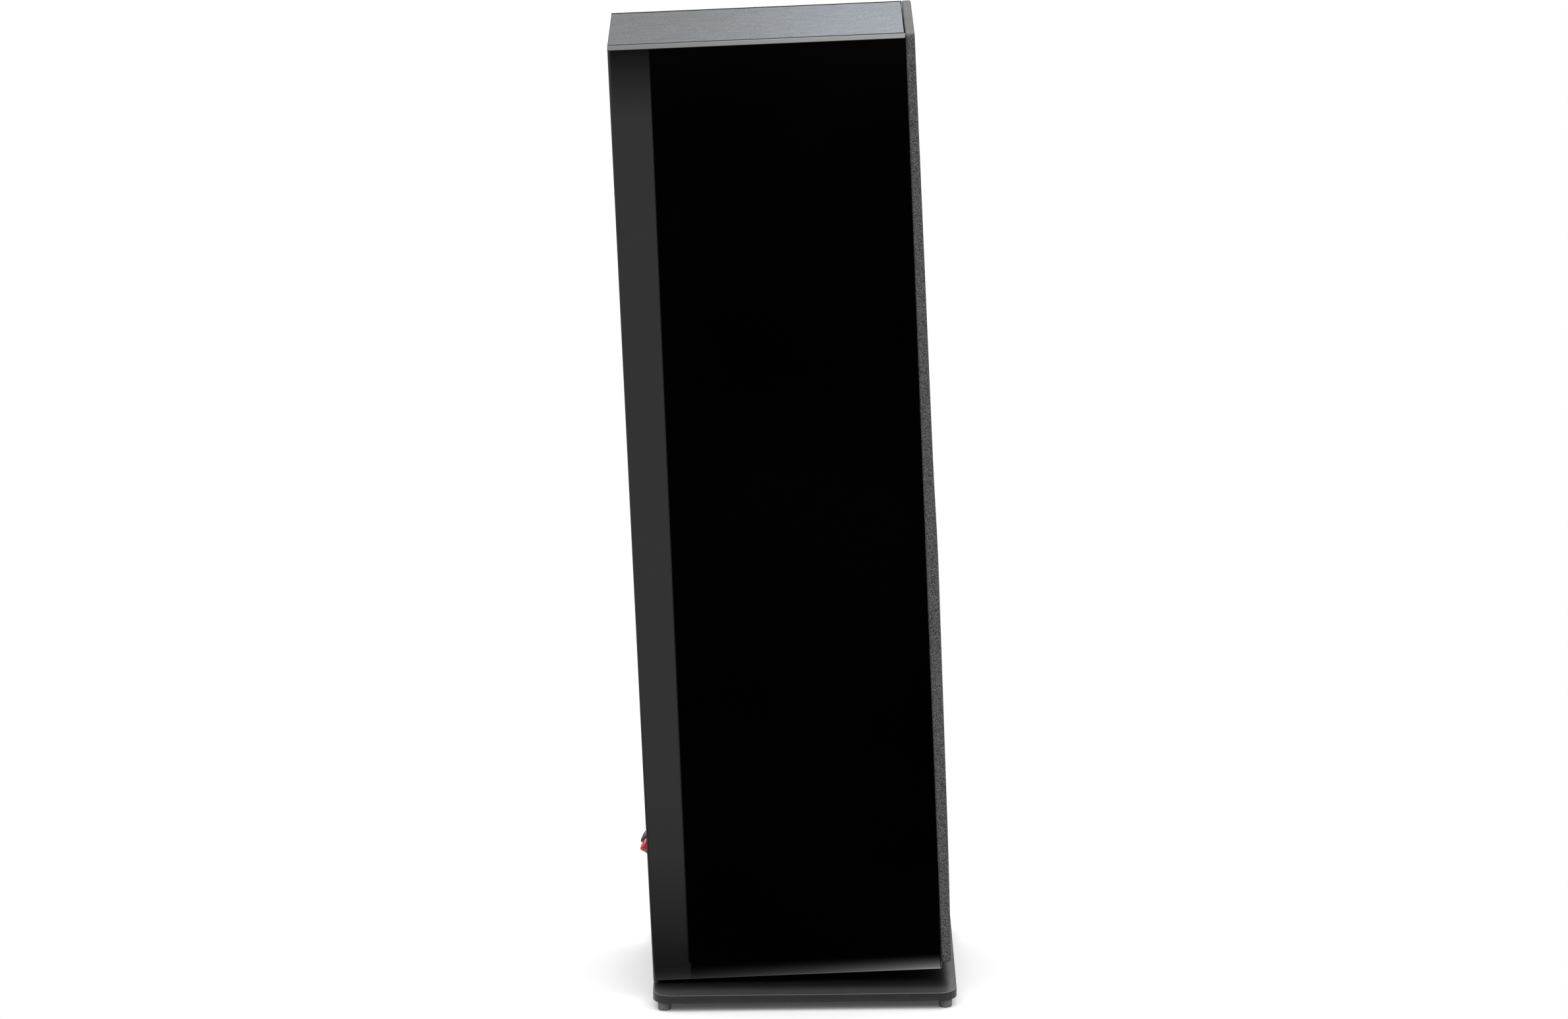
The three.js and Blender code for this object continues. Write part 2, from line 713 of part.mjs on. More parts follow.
// One clipped bundle of leads from the terminal cup up to the tweeter.
function wiringLoom() {
  const { x, y } = LOOM_PASSAGE;
  const route = new THREE.CatmullRomCurve3([
    new THREE.Vector3(0, -72, TERMINAL_HEIGHT + 6),
    new THREE.Vector3(34, -86, TERMINAL_HEIGHT + 34),
    new THREE.Vector3(x + 6, -74, 250),
    new THREE.Vector3(x, y, 480),
    new THREE.Vector3(x, y, PARTITION_HEIGHT + PARTITION_THICKNESS / 2),
    new THREE.Vector3(x, y - 10, 800),
    new THREE.Vector3(40, -150, 900),
    new THREE.Vector3(12, -SIDE_DEPTH + 52, TWEETER_HEIGHT),
  ]);
  const ring = new THREE.Shape(arc(0, 0, 4, 0, 300, 5).map(([u, v]) => new THREE.Vector2(u, v)));
  return new THREE.ExtrudeGeometry(ring, { extrudePath: route, steps: 20, bevelEnabled: false });
}

// ---------------------------------------------------------------- plinth, riser and feet
// This frame has its origin under the cabinet's bottom rear edge, at the plinth's rear edge.
const footX = PLINTH_WIDTH / 2 - FOOT_INSET;
const FEET = [
  { name: 'foot_front_left', x: -footX, y: FOOT_INSET - PLINTH_DEPTH },
  { name: 'foot_front_right', x: footX, y: FOOT_INSET - PLINTH_DEPTH },
  { name: 'foot_rear_left', x: -footX, y: -FOOT_INSET },
  { name: 'foot_rear_right', x: footX, y: -FOOT_INSET },
];

function plinth() {
  const outline = roundedRectangle(PLINTH_WIDTH, PLINTH_DEPTH, PLINTH_CORNER, 6);
  const plate = prismZ(outline, PLINTH_BOTTOM, PLINTH_TOP).translate(0, -PLINTH_DEPTH / 2, 0);
  const drill = disc(STUD_HOLE_RADIUS, PLINTH_BOTTOM - 5, PLINTH_BOTTOM + STUD_HOLE_DEPTH);
  const holes = FEET.map(({ x, y }) => revolve(drill, SMALL_STEPS).rotateX(Math.PI / 2).translate(x, y, 0));
  return cut(plate, holes);
}

// A wedge that carries the leaning cabinet on the level plinth.
function riser() {
  const underside = BOTTOM_RECESS - GAP;
  const seat = (y) => [
    y * Math.cos(LEAN) + underside * Math.sin(LEAN),
    CABINET_LIFT - y * Math.sin(LEAN) + underside * Math.cos(LEAN),
  ];
  const [front, rear] = [-270, -40];
  const outline = [[front, PLINTH_TOP + GAP], [rear, PLINTH_TOP + GAP], seat(rear), seat(front)];
  return prismX(outline, -60, 60);
}

// The pad holds the stud's flange in an undercut; a key reaches the stud from below.
const PAD_TOP = PLINTH_BOTTOM - GAP;
const PAD_PROFILE = [
  [2, 0],
  [FOOT_RADIUS - 0.6, 0],
  [FOOT_RADIUS, 0.6],
  [FOOT_RADIUS, PAD_TOP],
  [STUD_RADIUS + 0.3, PAD_TOP],
  [STUD_RADIUS + 0.3, 5.6],
  [5.2, 5.6],
  [5.2, 3],
  [2, 3],
];
const STUD_PROFILE = [
  [0, 4.6],
  [1.3, 4.6],
  [1.3, 3.3],
  [4.8, 3.3],
  [4.8, 5.3],
  [STUD_RADIUS, 5.3],
  [STUD_RADIUS, 16.4],
  [STUD_RADIUS - 0.6, 17],
  [0, 17],
];

// ---------------------------------------------------------------- assembly
const speaker = new THREE.Group();

// The column leans back, so its top rear edge is the rearmost point of the whole speaker.
const overhang = CABINET_HEIGHT * Math.sin(LEAN);
const base = groupAt(speaker, 0, (PLINTH_DEPTH - overhang) / 2, 0);
const cabinet = groupAt(base, 0, 0, CABINET_LIFT);
cabinet.rotation.x = -LEAN;

piece(cabinet, 'side_panel_left', sidePanel(-1), 'lacquer');
piece(cabinet, 'side_panel_right', sidePanel(1), 'lacquer');
piece(cabinet, 'top_cover', topCover(), 'vinyl');
piece(cabinet, 'bottom_panel', bottomPanel(), 'board');
piece(cabinet, 'rear_panel', rearPanel(), 'vinyl');
piece(cabinet, 'sub_baffle', subBaffle(), 'board');
piece(cabinet, 'front_baffle', frontBaffle(), 'grain');
piece(cabinet, 'window_brace', windowBrace(), 'board');
piece(cabinet, 'chamber_partition', chamberPartition(), 'board');
piece(cabinet, 'damping_pad', dampingPad(), 'foam');
for (const driver of CONE_DRIVERS) addConeDriver(cabinet, driver);
addTweeter(cabinet);
const port = groupAt(cabinet, 0, -SIDE_DEPTH, PORT_HEIGHT);
piece(port, 'port_tube', revolveForward(portProfile(), CONE_STEPS), 'blackPlastic');
addTerminal(cabinet);
piece(cabinet, 'crossover_board', crossoverBoard(), 'circuit');
piece(cabinet, 'crossover_inductor', crossoverInductor(), 'copper');
piece(cabinet, 'wiring_loom', wiringLoom(), 'blackPlastic');

piece(base, 'plinth', plinth(), 'powder');
piece(base, 'plinth_riser', riser(), 'powder');
for (const { name, x, y } of FEET) {
  const foot = groupAt(base, x, y, 0);
  piece(foot, `${name}_pad`, revolveUp(PAD_PROFILE), 'rubber');
  piece(foot, `${name}_stud`, revolveUp(STUD_PROFILE), 'steel');
}

export default speaker;
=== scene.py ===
"""Floorstanding speaker: fine pieces, finishes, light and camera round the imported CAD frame."""
import json
from math import asin, cos, degrees, e, pi, radians, sin

import bmesh
import bpy
import numpy as np
from mathutils import Matrix, Vector
from mathutils.geometry import delaunay_2d_cdt


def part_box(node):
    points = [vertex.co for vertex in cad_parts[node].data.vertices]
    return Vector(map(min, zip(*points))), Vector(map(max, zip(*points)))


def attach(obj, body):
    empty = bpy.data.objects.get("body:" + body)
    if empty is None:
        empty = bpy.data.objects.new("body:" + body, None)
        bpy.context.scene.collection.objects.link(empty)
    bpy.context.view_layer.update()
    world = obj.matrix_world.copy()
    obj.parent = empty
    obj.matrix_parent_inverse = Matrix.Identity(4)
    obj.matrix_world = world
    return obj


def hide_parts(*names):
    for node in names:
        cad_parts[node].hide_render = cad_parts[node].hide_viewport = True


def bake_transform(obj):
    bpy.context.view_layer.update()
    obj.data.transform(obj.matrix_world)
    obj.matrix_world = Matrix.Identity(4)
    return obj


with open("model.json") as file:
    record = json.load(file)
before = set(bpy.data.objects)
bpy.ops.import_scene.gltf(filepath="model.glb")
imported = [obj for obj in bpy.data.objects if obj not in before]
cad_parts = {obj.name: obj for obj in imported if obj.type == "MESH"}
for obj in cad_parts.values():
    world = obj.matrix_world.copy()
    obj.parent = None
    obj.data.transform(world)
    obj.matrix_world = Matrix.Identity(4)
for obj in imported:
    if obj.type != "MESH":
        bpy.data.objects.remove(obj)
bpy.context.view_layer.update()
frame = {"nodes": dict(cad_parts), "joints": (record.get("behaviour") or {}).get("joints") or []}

MM = 0.001
TURN = 2 * pi
scene = bpy.context.scene
JOINTS = {joint["name"]: joint for joint in frame["joints"]}

# The column leans back: LEAN takes cabinet axes (x, depth, up the column) to the row frame.
FORWARD = Vector(JOINTS["woofer_lower_stroke"]["axis"]).normalized()
LEAN = Matrix.Rotation(-asin(FORWARD.z), 4, "X")
UPRIGHT = LEAN.inverted()
LEVEL = Matrix.Identity(4)


def upright_points(node):
    """A CAD node's corners in cabinet axes."""
    return [UPRIGHT @ v.co for v in frame["nodes"][node].data.vertices]


def upright_box(node):
    points = np.array(upright_points(node))
    return Vector(points.min(0)), Vector(points.max(0))


def axes(origin, direction):
    """A matrix with its origin at a point, its Z along a direction, and the world's X."""
    z = Vector(direction).normalized()
    x = Vector((1, 0, 0))
    matrix = Matrix((x, z.cross(x), z)).transposed().to_4x4()
    matrix.translation = Vector(origin)
    return matrix


# ---- finishes
WHITE = (1, 1, 1, 1)
BLACK = (0, 0, 0, 1)
WAVE_UNIT = 0.314  # metres between the bands of a wave texture whose scale is 1
COVER_GAP = 4 * MM  # shadow gap between the cover's plate and each lip
cover_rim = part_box("top_cover")[1][0] - COVER_GAP
panel_half = -upright_box("side_panel_left")[0].x
panel_deep = max(-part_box("side_panel_left")[0][1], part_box("rear_panel")[1][1])
MATERIALS = {}  # each Finish puts itself here


class Tree:
    """A node tree read at one set of coordinates."""

    def __init__(self, owner, coordinates):
        self.nodes = owner.node_tree.nodes
        self.links = owner.node_tree.links
        self.position = self.node("TexCoord", {})[coordinates]

    def node(self, kind, inputs, **properties):
        """Outputs of a new node whose inputs are linked to sockets or set to plain values."""
        made = self.nodes.new("ShaderNode" + kind)
        for key, value in properties.items():
            setattr(made, key, value)
        for key, value in inputs.items():
            if isinstance(value, bpy.types.NodeSocket):
                self.links.new(value, made.inputs[key])
            else:
                made.inputs[key].default_value = value
        return made.outputs

    def math(self, operation, *values):
        return self.node("Math", dict(enumerate(values)), operation=operation)["Value"]

    def along(self, axis):
        """How far along X, Y or Z, in metres."""
        return self.node("SeparateXYZ", {"Vector": self.position})[axis]

    def fade(self, value, start, end, low=0.0, high=1.0):
        """Smooth change from low to high as a value goes from start to end."""
        inputs = {"Value": value, "From Min": start, "From Max": end, "To Min": low, "To Max": high}
        return self.node("MapRange", inputs, interpolation_type="SMOOTHSTEP")["Result"]


class Finish(Tree):
    """A procedural material in object coordinates, in metres."""

    def __init__(self, name, **sockets):
        material = bpy.data.materials.new(name)
        material.use_nodes = True
        super().__init__(material, "Object")
        self.shader = self.nodes["Principled BSDF"]
        for key, value in sockets.items():
            self.shader.inputs[key.replace("_", " ")].default_value = value
        MATERIALS[name] = material

    def link(self, source, socket):
        self.links.new(source, self.shader.inputs[socket])

    def stretched(self, *scale):
        """Object coordinates with each axis scaled."""
        return self.node("Mapping", {"Vector": self.position, "Scale": scale})["Vector"]

    def noise(self, grain, detail=3.0, distortion=0.0, source=None, output="Fac"):
        """Cloudy noise whose features are about grain metres across."""
        vector = source or self.position
        inputs = {"Vector": vector, "Scale": 1 / grain, "Detail": detail, "Distortion": distortion}
        return self.node("TexNoise", inputs)[output]

    def cells(self, size, source, randomness=1.0, feature="F1"):
        """Outputs of a pattern of cells about size metres across."""
        inputs = {"Vector": source, "Scale": 1 / size, "Randomness": randomness}
        return self.node("TexVoronoi", inputs, feature=feature)

    def waves(self, pitch, direction, distortion=0.0):
        """Even bands across one axis, pitch metres apart."""
        inputs = {"Vector": self.position, "Scale": WAVE_UNIT / pitch, "Distortion": distortion}
        return self.node("TexWave", inputs, bands_direction=direction)["Fac"]

    def outside(self, half_x, half_y):
        """Distance outside an upright box round the middle, seen from above."""
        source = self.position
        for operation, other in (
            ("ABSOLUTE", (0, 0, 0)), ("SUBTRACT", (half_x, half_y, 0)),
            ("MULTIPLY", (1, 1, 0)), ("MAXIMUM", (0, 0, 0)),
        ):
            source = self.node("VectorMath", {0: source, 1: other}, operation=operation)["Vector"]
        return self.node("VectorMath", {0: source}, operation="LENGTH")["Value"]

    def ramp(self, factor, *stops):
        """Colours (or greys) at positions from 0 to 1."""
        node = self.nodes.new("ShaderNodeValToRGB")
        elements = node.color_ramp.elements
        while len(elements) < len(stops):
            elements.new(0.5)
        for element, (position, color) in zip(elements, stops):
            element.position = position
            element.color = (*(grey(color) if isinstance(color, (int, float)) else color), 1.0)
        self.links.new(factor, node.inputs["Fac"])
        return node.outputs["Color"]

    def paint(self, factor, *stops, socket="Base Color"):
        self.link(self.ramp(factor, *stops), socket)

    def rough(self, factor, low, high, start=0.3, end=0.7):
        self.paint(factor, (start, low), (end, high), socket="Roughness")

    def bump(self, height, depth, strength=1.0):
        """Adds relief, depth metres high, over any relief already there."""
        inputs = {"Strength": strength, "Distance": depth, "Height": height}
        normal = self.shader.inputs["Normal"]
        if normal.is_linked:
            inputs["Normal"] = normal.links[0].from_socket
        self.link(self.node("Bump", inputs)["Normal"], "Normal")


def grey(value, tint=(1.0, 1.0, 1.0)):
    return tuple(value * channel for channel in tint)


def mottled(name, dark, light, grain, rough, relief, **sockets):
    """Two close colours in soft patches, roughness that wanders, and fine relief."""
    made = Finish(name, **sockets)
    patches = made.noise(grain, detail=4.0)
    made.paint(patches, (0.35, dark), (0.68, light))
    wander = made.noise(grain * 3, detail=2.0)
    made.rough(wander, *rough)
    if relief:
        made.bump(made.noise(grain * 0.6), relief)


def lacquer(name):
    """A mirror-smooth black with a trace of unevenness."""
    made = Finish(name)
    depth = made.noise(0.25, detail=2.0)
    made.paint(depth, (0.3, 0.0002), (0.7, 0.0005))
    made.rough(made.noise(0.09), 0.002, 0.008, 0.35, 0.75)
    made.bump(made.noise(0.004, detail=1.0), 0.000001, 0.12)


def top_vinyl(name):
    """Fine mottled grey film, with painted light that makes it lighter towards the front, and painted
    shade: black along the plate's two long edges, beside the gaps.
    """
    made = Finish(name, IOR=1.45, Specular_IOR_Level=0.12)
    speckle = made.noise(0.0011, detail=2.0, distortion=0.4)
    cloud = made.noise(0.012, detail=2.0, source=made.stretched(2.2, 0.5, 1))
    patches = made.math("ADD", made.math("MULTIPLY", speckle, 0.75), made.math("MULTIPLY", cloud, 0.16))
    # painted light: the film gets lighter towards the front and darker towards the rear
    painted_front_light = made.fade(made.along("Y"), 0.16, -0.12, -0.08, 0.09)
    tone = made.ramp(
        made.math("ADD", patches, painted_front_light), (0.28, (0.01, 0.012, 0.012)),
        (0.42, (0.026, 0.029, 0.03)), (0.55, (0.055, 0.06, 0.068)), (0.7, (0.105, 0.112, 0.13)),
    )
    # painted shade: the film turns black along the plate's two long edges, where the gaps beside it lie in
    # shade
    rim = made.fade(made.math("ABSOLUTE", made.along("X")), cover_rim - 0.9 * MM, cover_rim - 0.4 * MM)
    inputs = {"Factor": rim, "A": tone, "B": BLACK}
    made.link(made.node("Mix", inputs, data_type="RGBA")["Result"], "Base Color")
    made.rough(speckle, 0.5, 0.66)
    made.bump(made.noise(0.0013), 0.00014, 0.7)


def pebbled_film(name, size, relief, *tones):
    """Film pressed with small pebbles, each a little lighter or darker than the next, with painted shade
    in the creases between them.
    """
    made = Finish(name, IOR=1.45, Specular_IOR_Level=0.03)
    push = made.noise(size * 1.2, detail=1.0, output="Color")
    inputs = {0: push, 1: (size * 0.9,) * 3, 2: made.position}
    cells = made.cells(size, made.node("VectorMath", inputs, operation="MULTIPLY_ADD")["Vector"])
    crest = made.fade(cells["Distance"], 0.15, 0.95, 1.0, 0.0)
    shade = made.node("SeparateColor", {"Color": cells["Color"]})["Red"]
    fine = made.noise(size * 0.5)
    # painted shade: each pebble darkens towards its edge, into the creases
    pebbles_with_painted_shade = made.math("MULTIPLY", crest, made.math("MULTIPLY_ADD", shade, 0.55, 0.45))
    tone = made.math("ADD", made.math("MULTIPLY", pebbles_with_painted_shade, 0.75), made.math("MULTIPLY", fine, 0.25))
    made.paint(tone, *tones)
    made.rough(fine, 0.42, 0.6)
    made.bump(crest, relief, 0.9)
    made.bump(fine, relief * 0.4, 0.6)


def cone_skin(name):
    """Pressed fibre with short strands."""
    made = Finish(name, IOR=1.45)
    strands, crossing = (
        made.noise(0.0016, detail=4.0, distortion=1.2, source=made.stretched(*scale))
        for scale in ((1, 1, 3.2), (3.2, 1, 1))
    )
    fibres = made.math("MAXIMUM", strands, crossing)
    made.paint(fibres, (0.42, 0.012), (0.72, grey(0.042, (1.0, 1.02, 1.06))))
    made.rough(fibres, 0.34, 0.5, 0.4, 0.7)
    made.bump(fibres, 0.00014, 0.7)


def woven(name, dark, light, pitch, rough, relief, **sockets):
    """Plain weave: two crossed sets of threads."""
    made = Finish(name, **sockets)
    threads = made.math("MAXIMUM", made.waves(pitch, "X"), made.waves(pitch, "Z"))
    made.paint(threads, (0.35, dark), (0.95, light))
    made.rough(made.noise(pitch * 8), rough - 0.08, rough + 0.08)
    made.bump(threads, relief, 0.8)


def wound(name, dark, light, pitch, direction):
    """Wire laid in turns."""
    made = Finish(name, Metallic=1.0)
    turns = made.waves(pitch, direction)
    made.paint(turns, (0.1, dark), (0.7, light))
    made.rough(made.noise(0.004), 0.25, 0.42)
    made.bump(turns, pitch * 0.3)


def circuit_board(name):
    """Green board with paler tracks."""
    made = Finish(name)
    tracks = made.cells(0.012, made.position, 0.6, "DISTANCE_TO_EDGE")["Distance"]
    made.paint(tracks, (0.05, (0.06, 0.17, 0.08)), (0.09, (0.02, 0.09, 0.035)))
    made.rough(made.noise(0.006), 0.3, 0.5)
    made.bump(tracks, 0.0002, 0.4)


def turned_metal(name, dark, light, rough, axis):
    """Metal with the fine rings that a lathe leaves."""
    made = Finish(name, Metallic=1.0)
    rings = made.waves(0.0004, axis, distortion=0.4)
    made.paint(made.noise(0.003, detail=4.0), (0.3, dark), (0.7, light))
    made.rough(rings, rough - 0.07, rough + 0.07, 0.2, 0.8)
    made.bump(rings, 0.00002, 0.5)


def powder_coat(name):
    """Matt black powder with fine orange peel, and painted shade: darker next to the cabinet, a little
    lighter away from it.
    """
    made = Finish(name, Specular_IOR_Level=0.2)
    peel = made.noise(0.0008, detail=2.0)
    # painted shade: the plinth darkens towards the cabinet, where the cabinet shades it
    painted_cabinet_shade = made.fade(made.outside(panel_half, panel_deep), 0.0, 0.034, -0.1, 0.35)
    made.paint(made.math("ADD", peel, painted_cabinet_shade), (0.3, 0.001), (0.6, 0.0025), (1.0, 0.022))
    made.rough(made.noise(0.02), 0.3, 0.38)
    made.bump(peel, 0.00007, 0.6)


COOL = (1.0, 1.0, 1.03)
lacquer("gloss_lacquer")
top_vinyl("top_vinyl")
pebbled_film("rear_vinyl", 0.0016, 0.00016, (0.1, 0.014), (0.4, 0.026), (0.8, 0.05))
pebbled_film(
    "baffle_grain", 0.00095, 0.0002, (0.12, 0.018), (0.32, 0.033),
    (0.55, grey(0.06, COOL)), (0.88, grey(0.11, COOL)),
)
cone_skin("cone_skin")
circuit_board("circuit_board")
powder_coat("plinth_powder")
wound("coil_copper", (0.28, 0.1, 0.04), (0.7, 0.32, 0.16), 0.0006, "Y")
woven("spider_cloth", (0.16, 0.11, 0.04), (0.46, 0.34, 0.15), 0.0008, 0.85, 0.0002)
woven("dome_fabric", 0.008, 0.035, 0.0005, 0.55, 0.00006, IOR=1.45)
woven("loom_sleeve", 0.01, 0.045, 0.0012, 0.6, 0.0003)
turned_metal("motor_steel", 0.04, 0.07, 0.4, "Y")
turned_metal("post_brass", (0.55, 0.36, 0.12), (0.8, 0.58, 0.26), 0.26, "Y")
turned_metal("stud_steel", 0.38, 0.52, 0.3, "Z")
mottled("bare_board", (0.3, 0.21, 0.12), (0.44, 0.32, 0.2), 0.0025, (0.7, 0.85), 0.0002)
mottled("damping_foam", (0.5, 0.48, 0.42), (0.66, 0.64, 0.56), 0.0018, (0.85, 0.95), 0.0006)
mottled("trim_plastic", 0.01, 0.017, 0.0008, (0.3, 0.4), 0.00004)
mottled("basket_metal", 0.05, 0.09, 0.0012, (0.4, 0.55), 0.0001, Metallic=0.7)
mottled("surround_rubber", 0.01, 0.02, 0.0012, (0.42, 0.56), 0.00003, IOR=1.45)
mottled("dust_cap_skin", 0.01, 0.022, 0.001, (0.24, 0.34), 0.00003)
mottled("guard_metal", 0.02, 0.034, 0.001, (0.34, 0.46), 0.00003, Metallic=0.6)
mottled("port_plastic", 0.009, 0.015, 0.0012, (0.34, 0.44), 0.00004)
mottled("cup_plastic", 0.01, 0.02, 0.0007, (0.42, 0.55), 0.00008)
mottled("cap_red", (0.3, 0.01, 0.012), (0.4, 0.02, 0.02), 0.003, (0.22, 0.32), 0)
mottled("cap_black", 0.008, 0.016, 0.003, (0.22, 0.32), 0)
mottled("riser_board", 0.01, 0.018, 0.0015, (0.6, 0.75), 0.0001, IOR=1.45)
mottled("foot_rubber", 0.045, 0.062, 0.0009, (0.45, 0.6), 0.00004)


# ---- mesh building
def new_object(name, data):
    made = bpy.data.objects.new(name, data)
    scene.collection.objects.link(made)
    return made


def new_mesh(name, points, faces, material):
    mesh = bpy.data.meshes.new(name)
    mesh.from_pydata(points, [], faces)
    mesh.materials.append(MATERIALS[material])
    return new_object(name, mesh)


class Shape:
    """Points and faces, added part by part, that become one piece."""

    def __init__(self, place=LEVEL):
        self.place = place
        self.points = []
        self.faces = []

    def add(self, points, faces=()):
        start = len(self.points)
        self.points.extend(points)
        self.faces.extend(tuple(start + i for i in face) for face in faces)
        return range(start, len(self.points))

    def bridge(self, first, second):
        """Faces between two closed loops of point numbers; either may be a single point."""
        count = max(len(first), len(second))
        for i in range(count if count > 1 else 0):
            corners = ((first, i), (first, i + 1), (second, i + 1), (second, i))
            # A single point is met twice and counts once.
            self.faces.append(tuple(dict.fromkeys(loop[k % len(loop)] for loop, k in corners)))

    def loft(self, loops, closed=False):
        """Loops of points joined one after the other."""
        rings = [self.add(loop) for loop in loops]
        for first, second in zip(rings, rings[1:] + rings[:1] if closed else rings[1:]):
            self.bridge(first, second)
        return rings

    def cap(self, ring):
        self.faces.append(tuple(ring))

    def turn(self, profile, steps, ripple=None, place=LEVEL):
        """Turns a closed profile of [radius, along] points, in millimetres, about the Z of place."""
        loops = []
        for radius, along in profile:
            loop = []
            for i in range(steps if radius > 0 else 1):
                angle = TURN * i / steps
                r = (ripple(radius, along, angle) if ripple and radius > 0 else radius) * MM
                loop.append(place @ Vector((r * cos(angle), r * sin(angle), along * MM)))
            loops.append(loop)
        self.loft(loops, closed=True)

    def piece(self, name, material, body="root", replaces=None, sharp=34, riding=True):
        """Makes the object, smooth except where faces meet at more than sharp degrees."""
        points = [self.place @ Vector(point) for point in self.points]
        made = new_mesh(name, points, self.faces, material)
        turn_outward(made.data)
        made.data.shade_smooth()
        made.data.set_sharp_from_angle(angle=radians(sharp))
        if riding:
            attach(made, body)
        if replaces:
            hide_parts(replaces)
        return made


def turn_outward(mesh):
    """Joins points that coincide, and turns every face of a closed mesh to the outside."""
    work = bmesh.new()
    work.from_mesh(mesh)
    bmesh.ops.remove_doubles(work, verts=work.verts, dist=1e-7)
    bmesh.ops.recalc_face_normals(work, faces=work.faces)
    work.to_mesh(mesh)
    work.free()


def turned(place, profile, steps, name, material, body="root", replaces=None, ripple=None, **options):
    """A piece turned about the Z axis of place."""
    shape = Shape(place)
    shape.turn(profile, steps, ripple)
    return shape.piece(name, material, body, replaces, **options)


def arc(centre, radius, start, end, steps):
    """Points on an arc in [radius, along] or [x, y] terms, angles in degrees."""
    angles = [radians(start + (end - start) * i / steps) for i in range(steps + 1)]
    return [(centre[0] + radius * cos(a), centre[1] + radius * sin(a)) for a in angles]


def rounded_loop(half_u, half_v, radius, corner_steps, side_steps=1):
    """A rounded rectangle about the origin, with its long sides split into side_steps."""
    u, v = half_u - radius, half_v - radius
    centres = ((u, v), (-u, v), (-u, -v), (u, -v))
    corners = [arc(c, radius, 90 * i, 90 * i + 90, corner_steps) for i, c in enumerate(centres)]
    loop = []
    for i, corner in enumerate(corners):
        loop.extend(corner)
        if i % 2 == 1:
            (side, start), (_, end) = corner[-1], corners[(i + 1) % 4][0]
            loop.extend((side, start + (end - start) * k / side_steps) for k in range(1, side_steps))
    return loop


def bevelled(name, outline, span, weights, end_weights, material, replaces):
    """A prism along the cabinet's depth with each edge rounded by its own radius.

    weights holds the radius at each [x, z] point of the outline, and end_weights the radii at
    the two ends of the span for the side that starts at it.
    """
    shape = Shape(LEAN)
    for ring in shape.loft([[(x, y, z) for x, z in outline] for y in span]):
        shape.cap(ring)
    made = shape.piece(name, material, replaces=replaces, sharp=20)
    widest = max(*weights, *(w for pair in end_weights for w in pair))
    attribute = made.data.attributes.new("bevel_weight_edge", "FLOAT", "EDGE")
    for edge in made.data.edges:
        first, second = sorted(i % len(outline) for i in edge.vertices)
        if first == second:
            radius = weights[first]
        else:
            side = second if second - first > 1 else first
            radius = end_weights[side][edge.vertices[0] // len(outline)]
        attribute.data[edge.index].value = radius / widest
    rounding = made.modifiers.new("rounding", "BEVEL")
    rounding.limit_method = "WEIGHT"
    rounding.width = widest
    rounding.segments = 6
    rounding.use_clamp_overlap = False
    rounding.harden_normals = True


HOLE_STEPS = 96
GRID_CLEARANCE = 2 * MM  # between a grid point and a hole
CHORD = cos(pi / HOLE_STEPS)  # a hole's chord stands this much nearer to its middle


def circle(radius, steps, u=0.0, v=0.0):
    """Points [u, v] round a centre."""
    angles = [TURN * i / steps for i in range(steps)]
    return [(u + radius * cos(angle), v + radius * sin(angle)) for angle in angles]


def drilled_plate(shape, loops, holes, grid, lift):
    """A plate whose rim follows loops of [u, v, depth] from front to back, with round holes.

    A hole is (u, v, rows) with rows of [radius, depth] from front to back; the first row of a
    hole that doesn't reach the front is None. lift(v, depth) gives the third coordinate.
    """
    rings = shape.loft([[(u, v, lift(v, depth)) for u, v, depth in loop] for loop in loops])
    for end in (0, -1):
        ids = list(rings[end])
        flat = [Vector((u, v)) for u, v, _ in loops[end]]
        edges = [(i, (i + 1) % len(ids)) for i in range(len(ids))]
        inside = []
        for u0, v0, rows in holes:
            if rows[0] is None and end == 0:
                continue
            radius, depth = rows[1] if rows[0] is None else rows[end]
            loop = circle(radius, HOLE_STEPS, u0, v0)
            first = len(flat)
            flat.extend(Vector(point) for point in loop)
            ids.extend(shape.add([(u, v, lift(v, depth)) for u, v in loop]))
            edges.extend((first + i, first + (i + 1) % HOLE_STEPS) for i in range(HOLE_STEPS))
            inside.append((Vector((u0, v0)), radius))
        for u, v in grid:
            point = Vector((u, v))
            if all((point - centre).length > radius + GRID_CLEARANCE for centre, radius in inside):
                flat.append(point)
                ids.extend(shape.add([(u, v, lift(v, loops[end][0][2]))]))
        _, _, triangles, sources, _, _ = delaunay_2d_cdt(flat, edges, [], 0, 1e-7)
        origin = [source[0] for source in sources]
        for triangle in triangles:
            corners = [flat[origin[i]] for i in triangle]
            middle = sum(corners, Vector((0, 0))) / 3
            if all((middle - centre).length > radius * CHORD for centre, radius in inside):
                shape.faces.append(tuple(ids[origin[i]] for i in triangle))
    for u0, v0, rows in holes:
        wall = shape.loft([
            [(u, v, lift(v, depth)) for u, v in circle(radius, HOLE_STEPS, u0, v0)]
            for radius, depth in filter(None, rows)
        ])
        if rows[0] is None:
            shape.cap(wall[-1])


# ---- cabinet
TOP_CHAMFER = 4.0 * MM
CHAMFER_RISE = 3.4 * MM  # how far the chamfer runs inward
CHAMFER_ROUND = 0.5 * MM
REAR_ROUND = 3 * MM
FRONT_ROUND = 1.5 * MM
BOTTOM_ROUND = 2 * MM
SOFT_EDGE = 0.4 * MM
REAR_EDGE = 1 * MM
REBATE = 6 * MM  # the step that takes the cover
LIP_GAP = 0.2 * MM
FRONT_GAP = 1.1 * MM  # behind the baffle
COVER_ROUND = 0.7 * MM
COVER_REAR_ROUND = 1.5 * MM
COVER_PLATE = 5.7 * MM

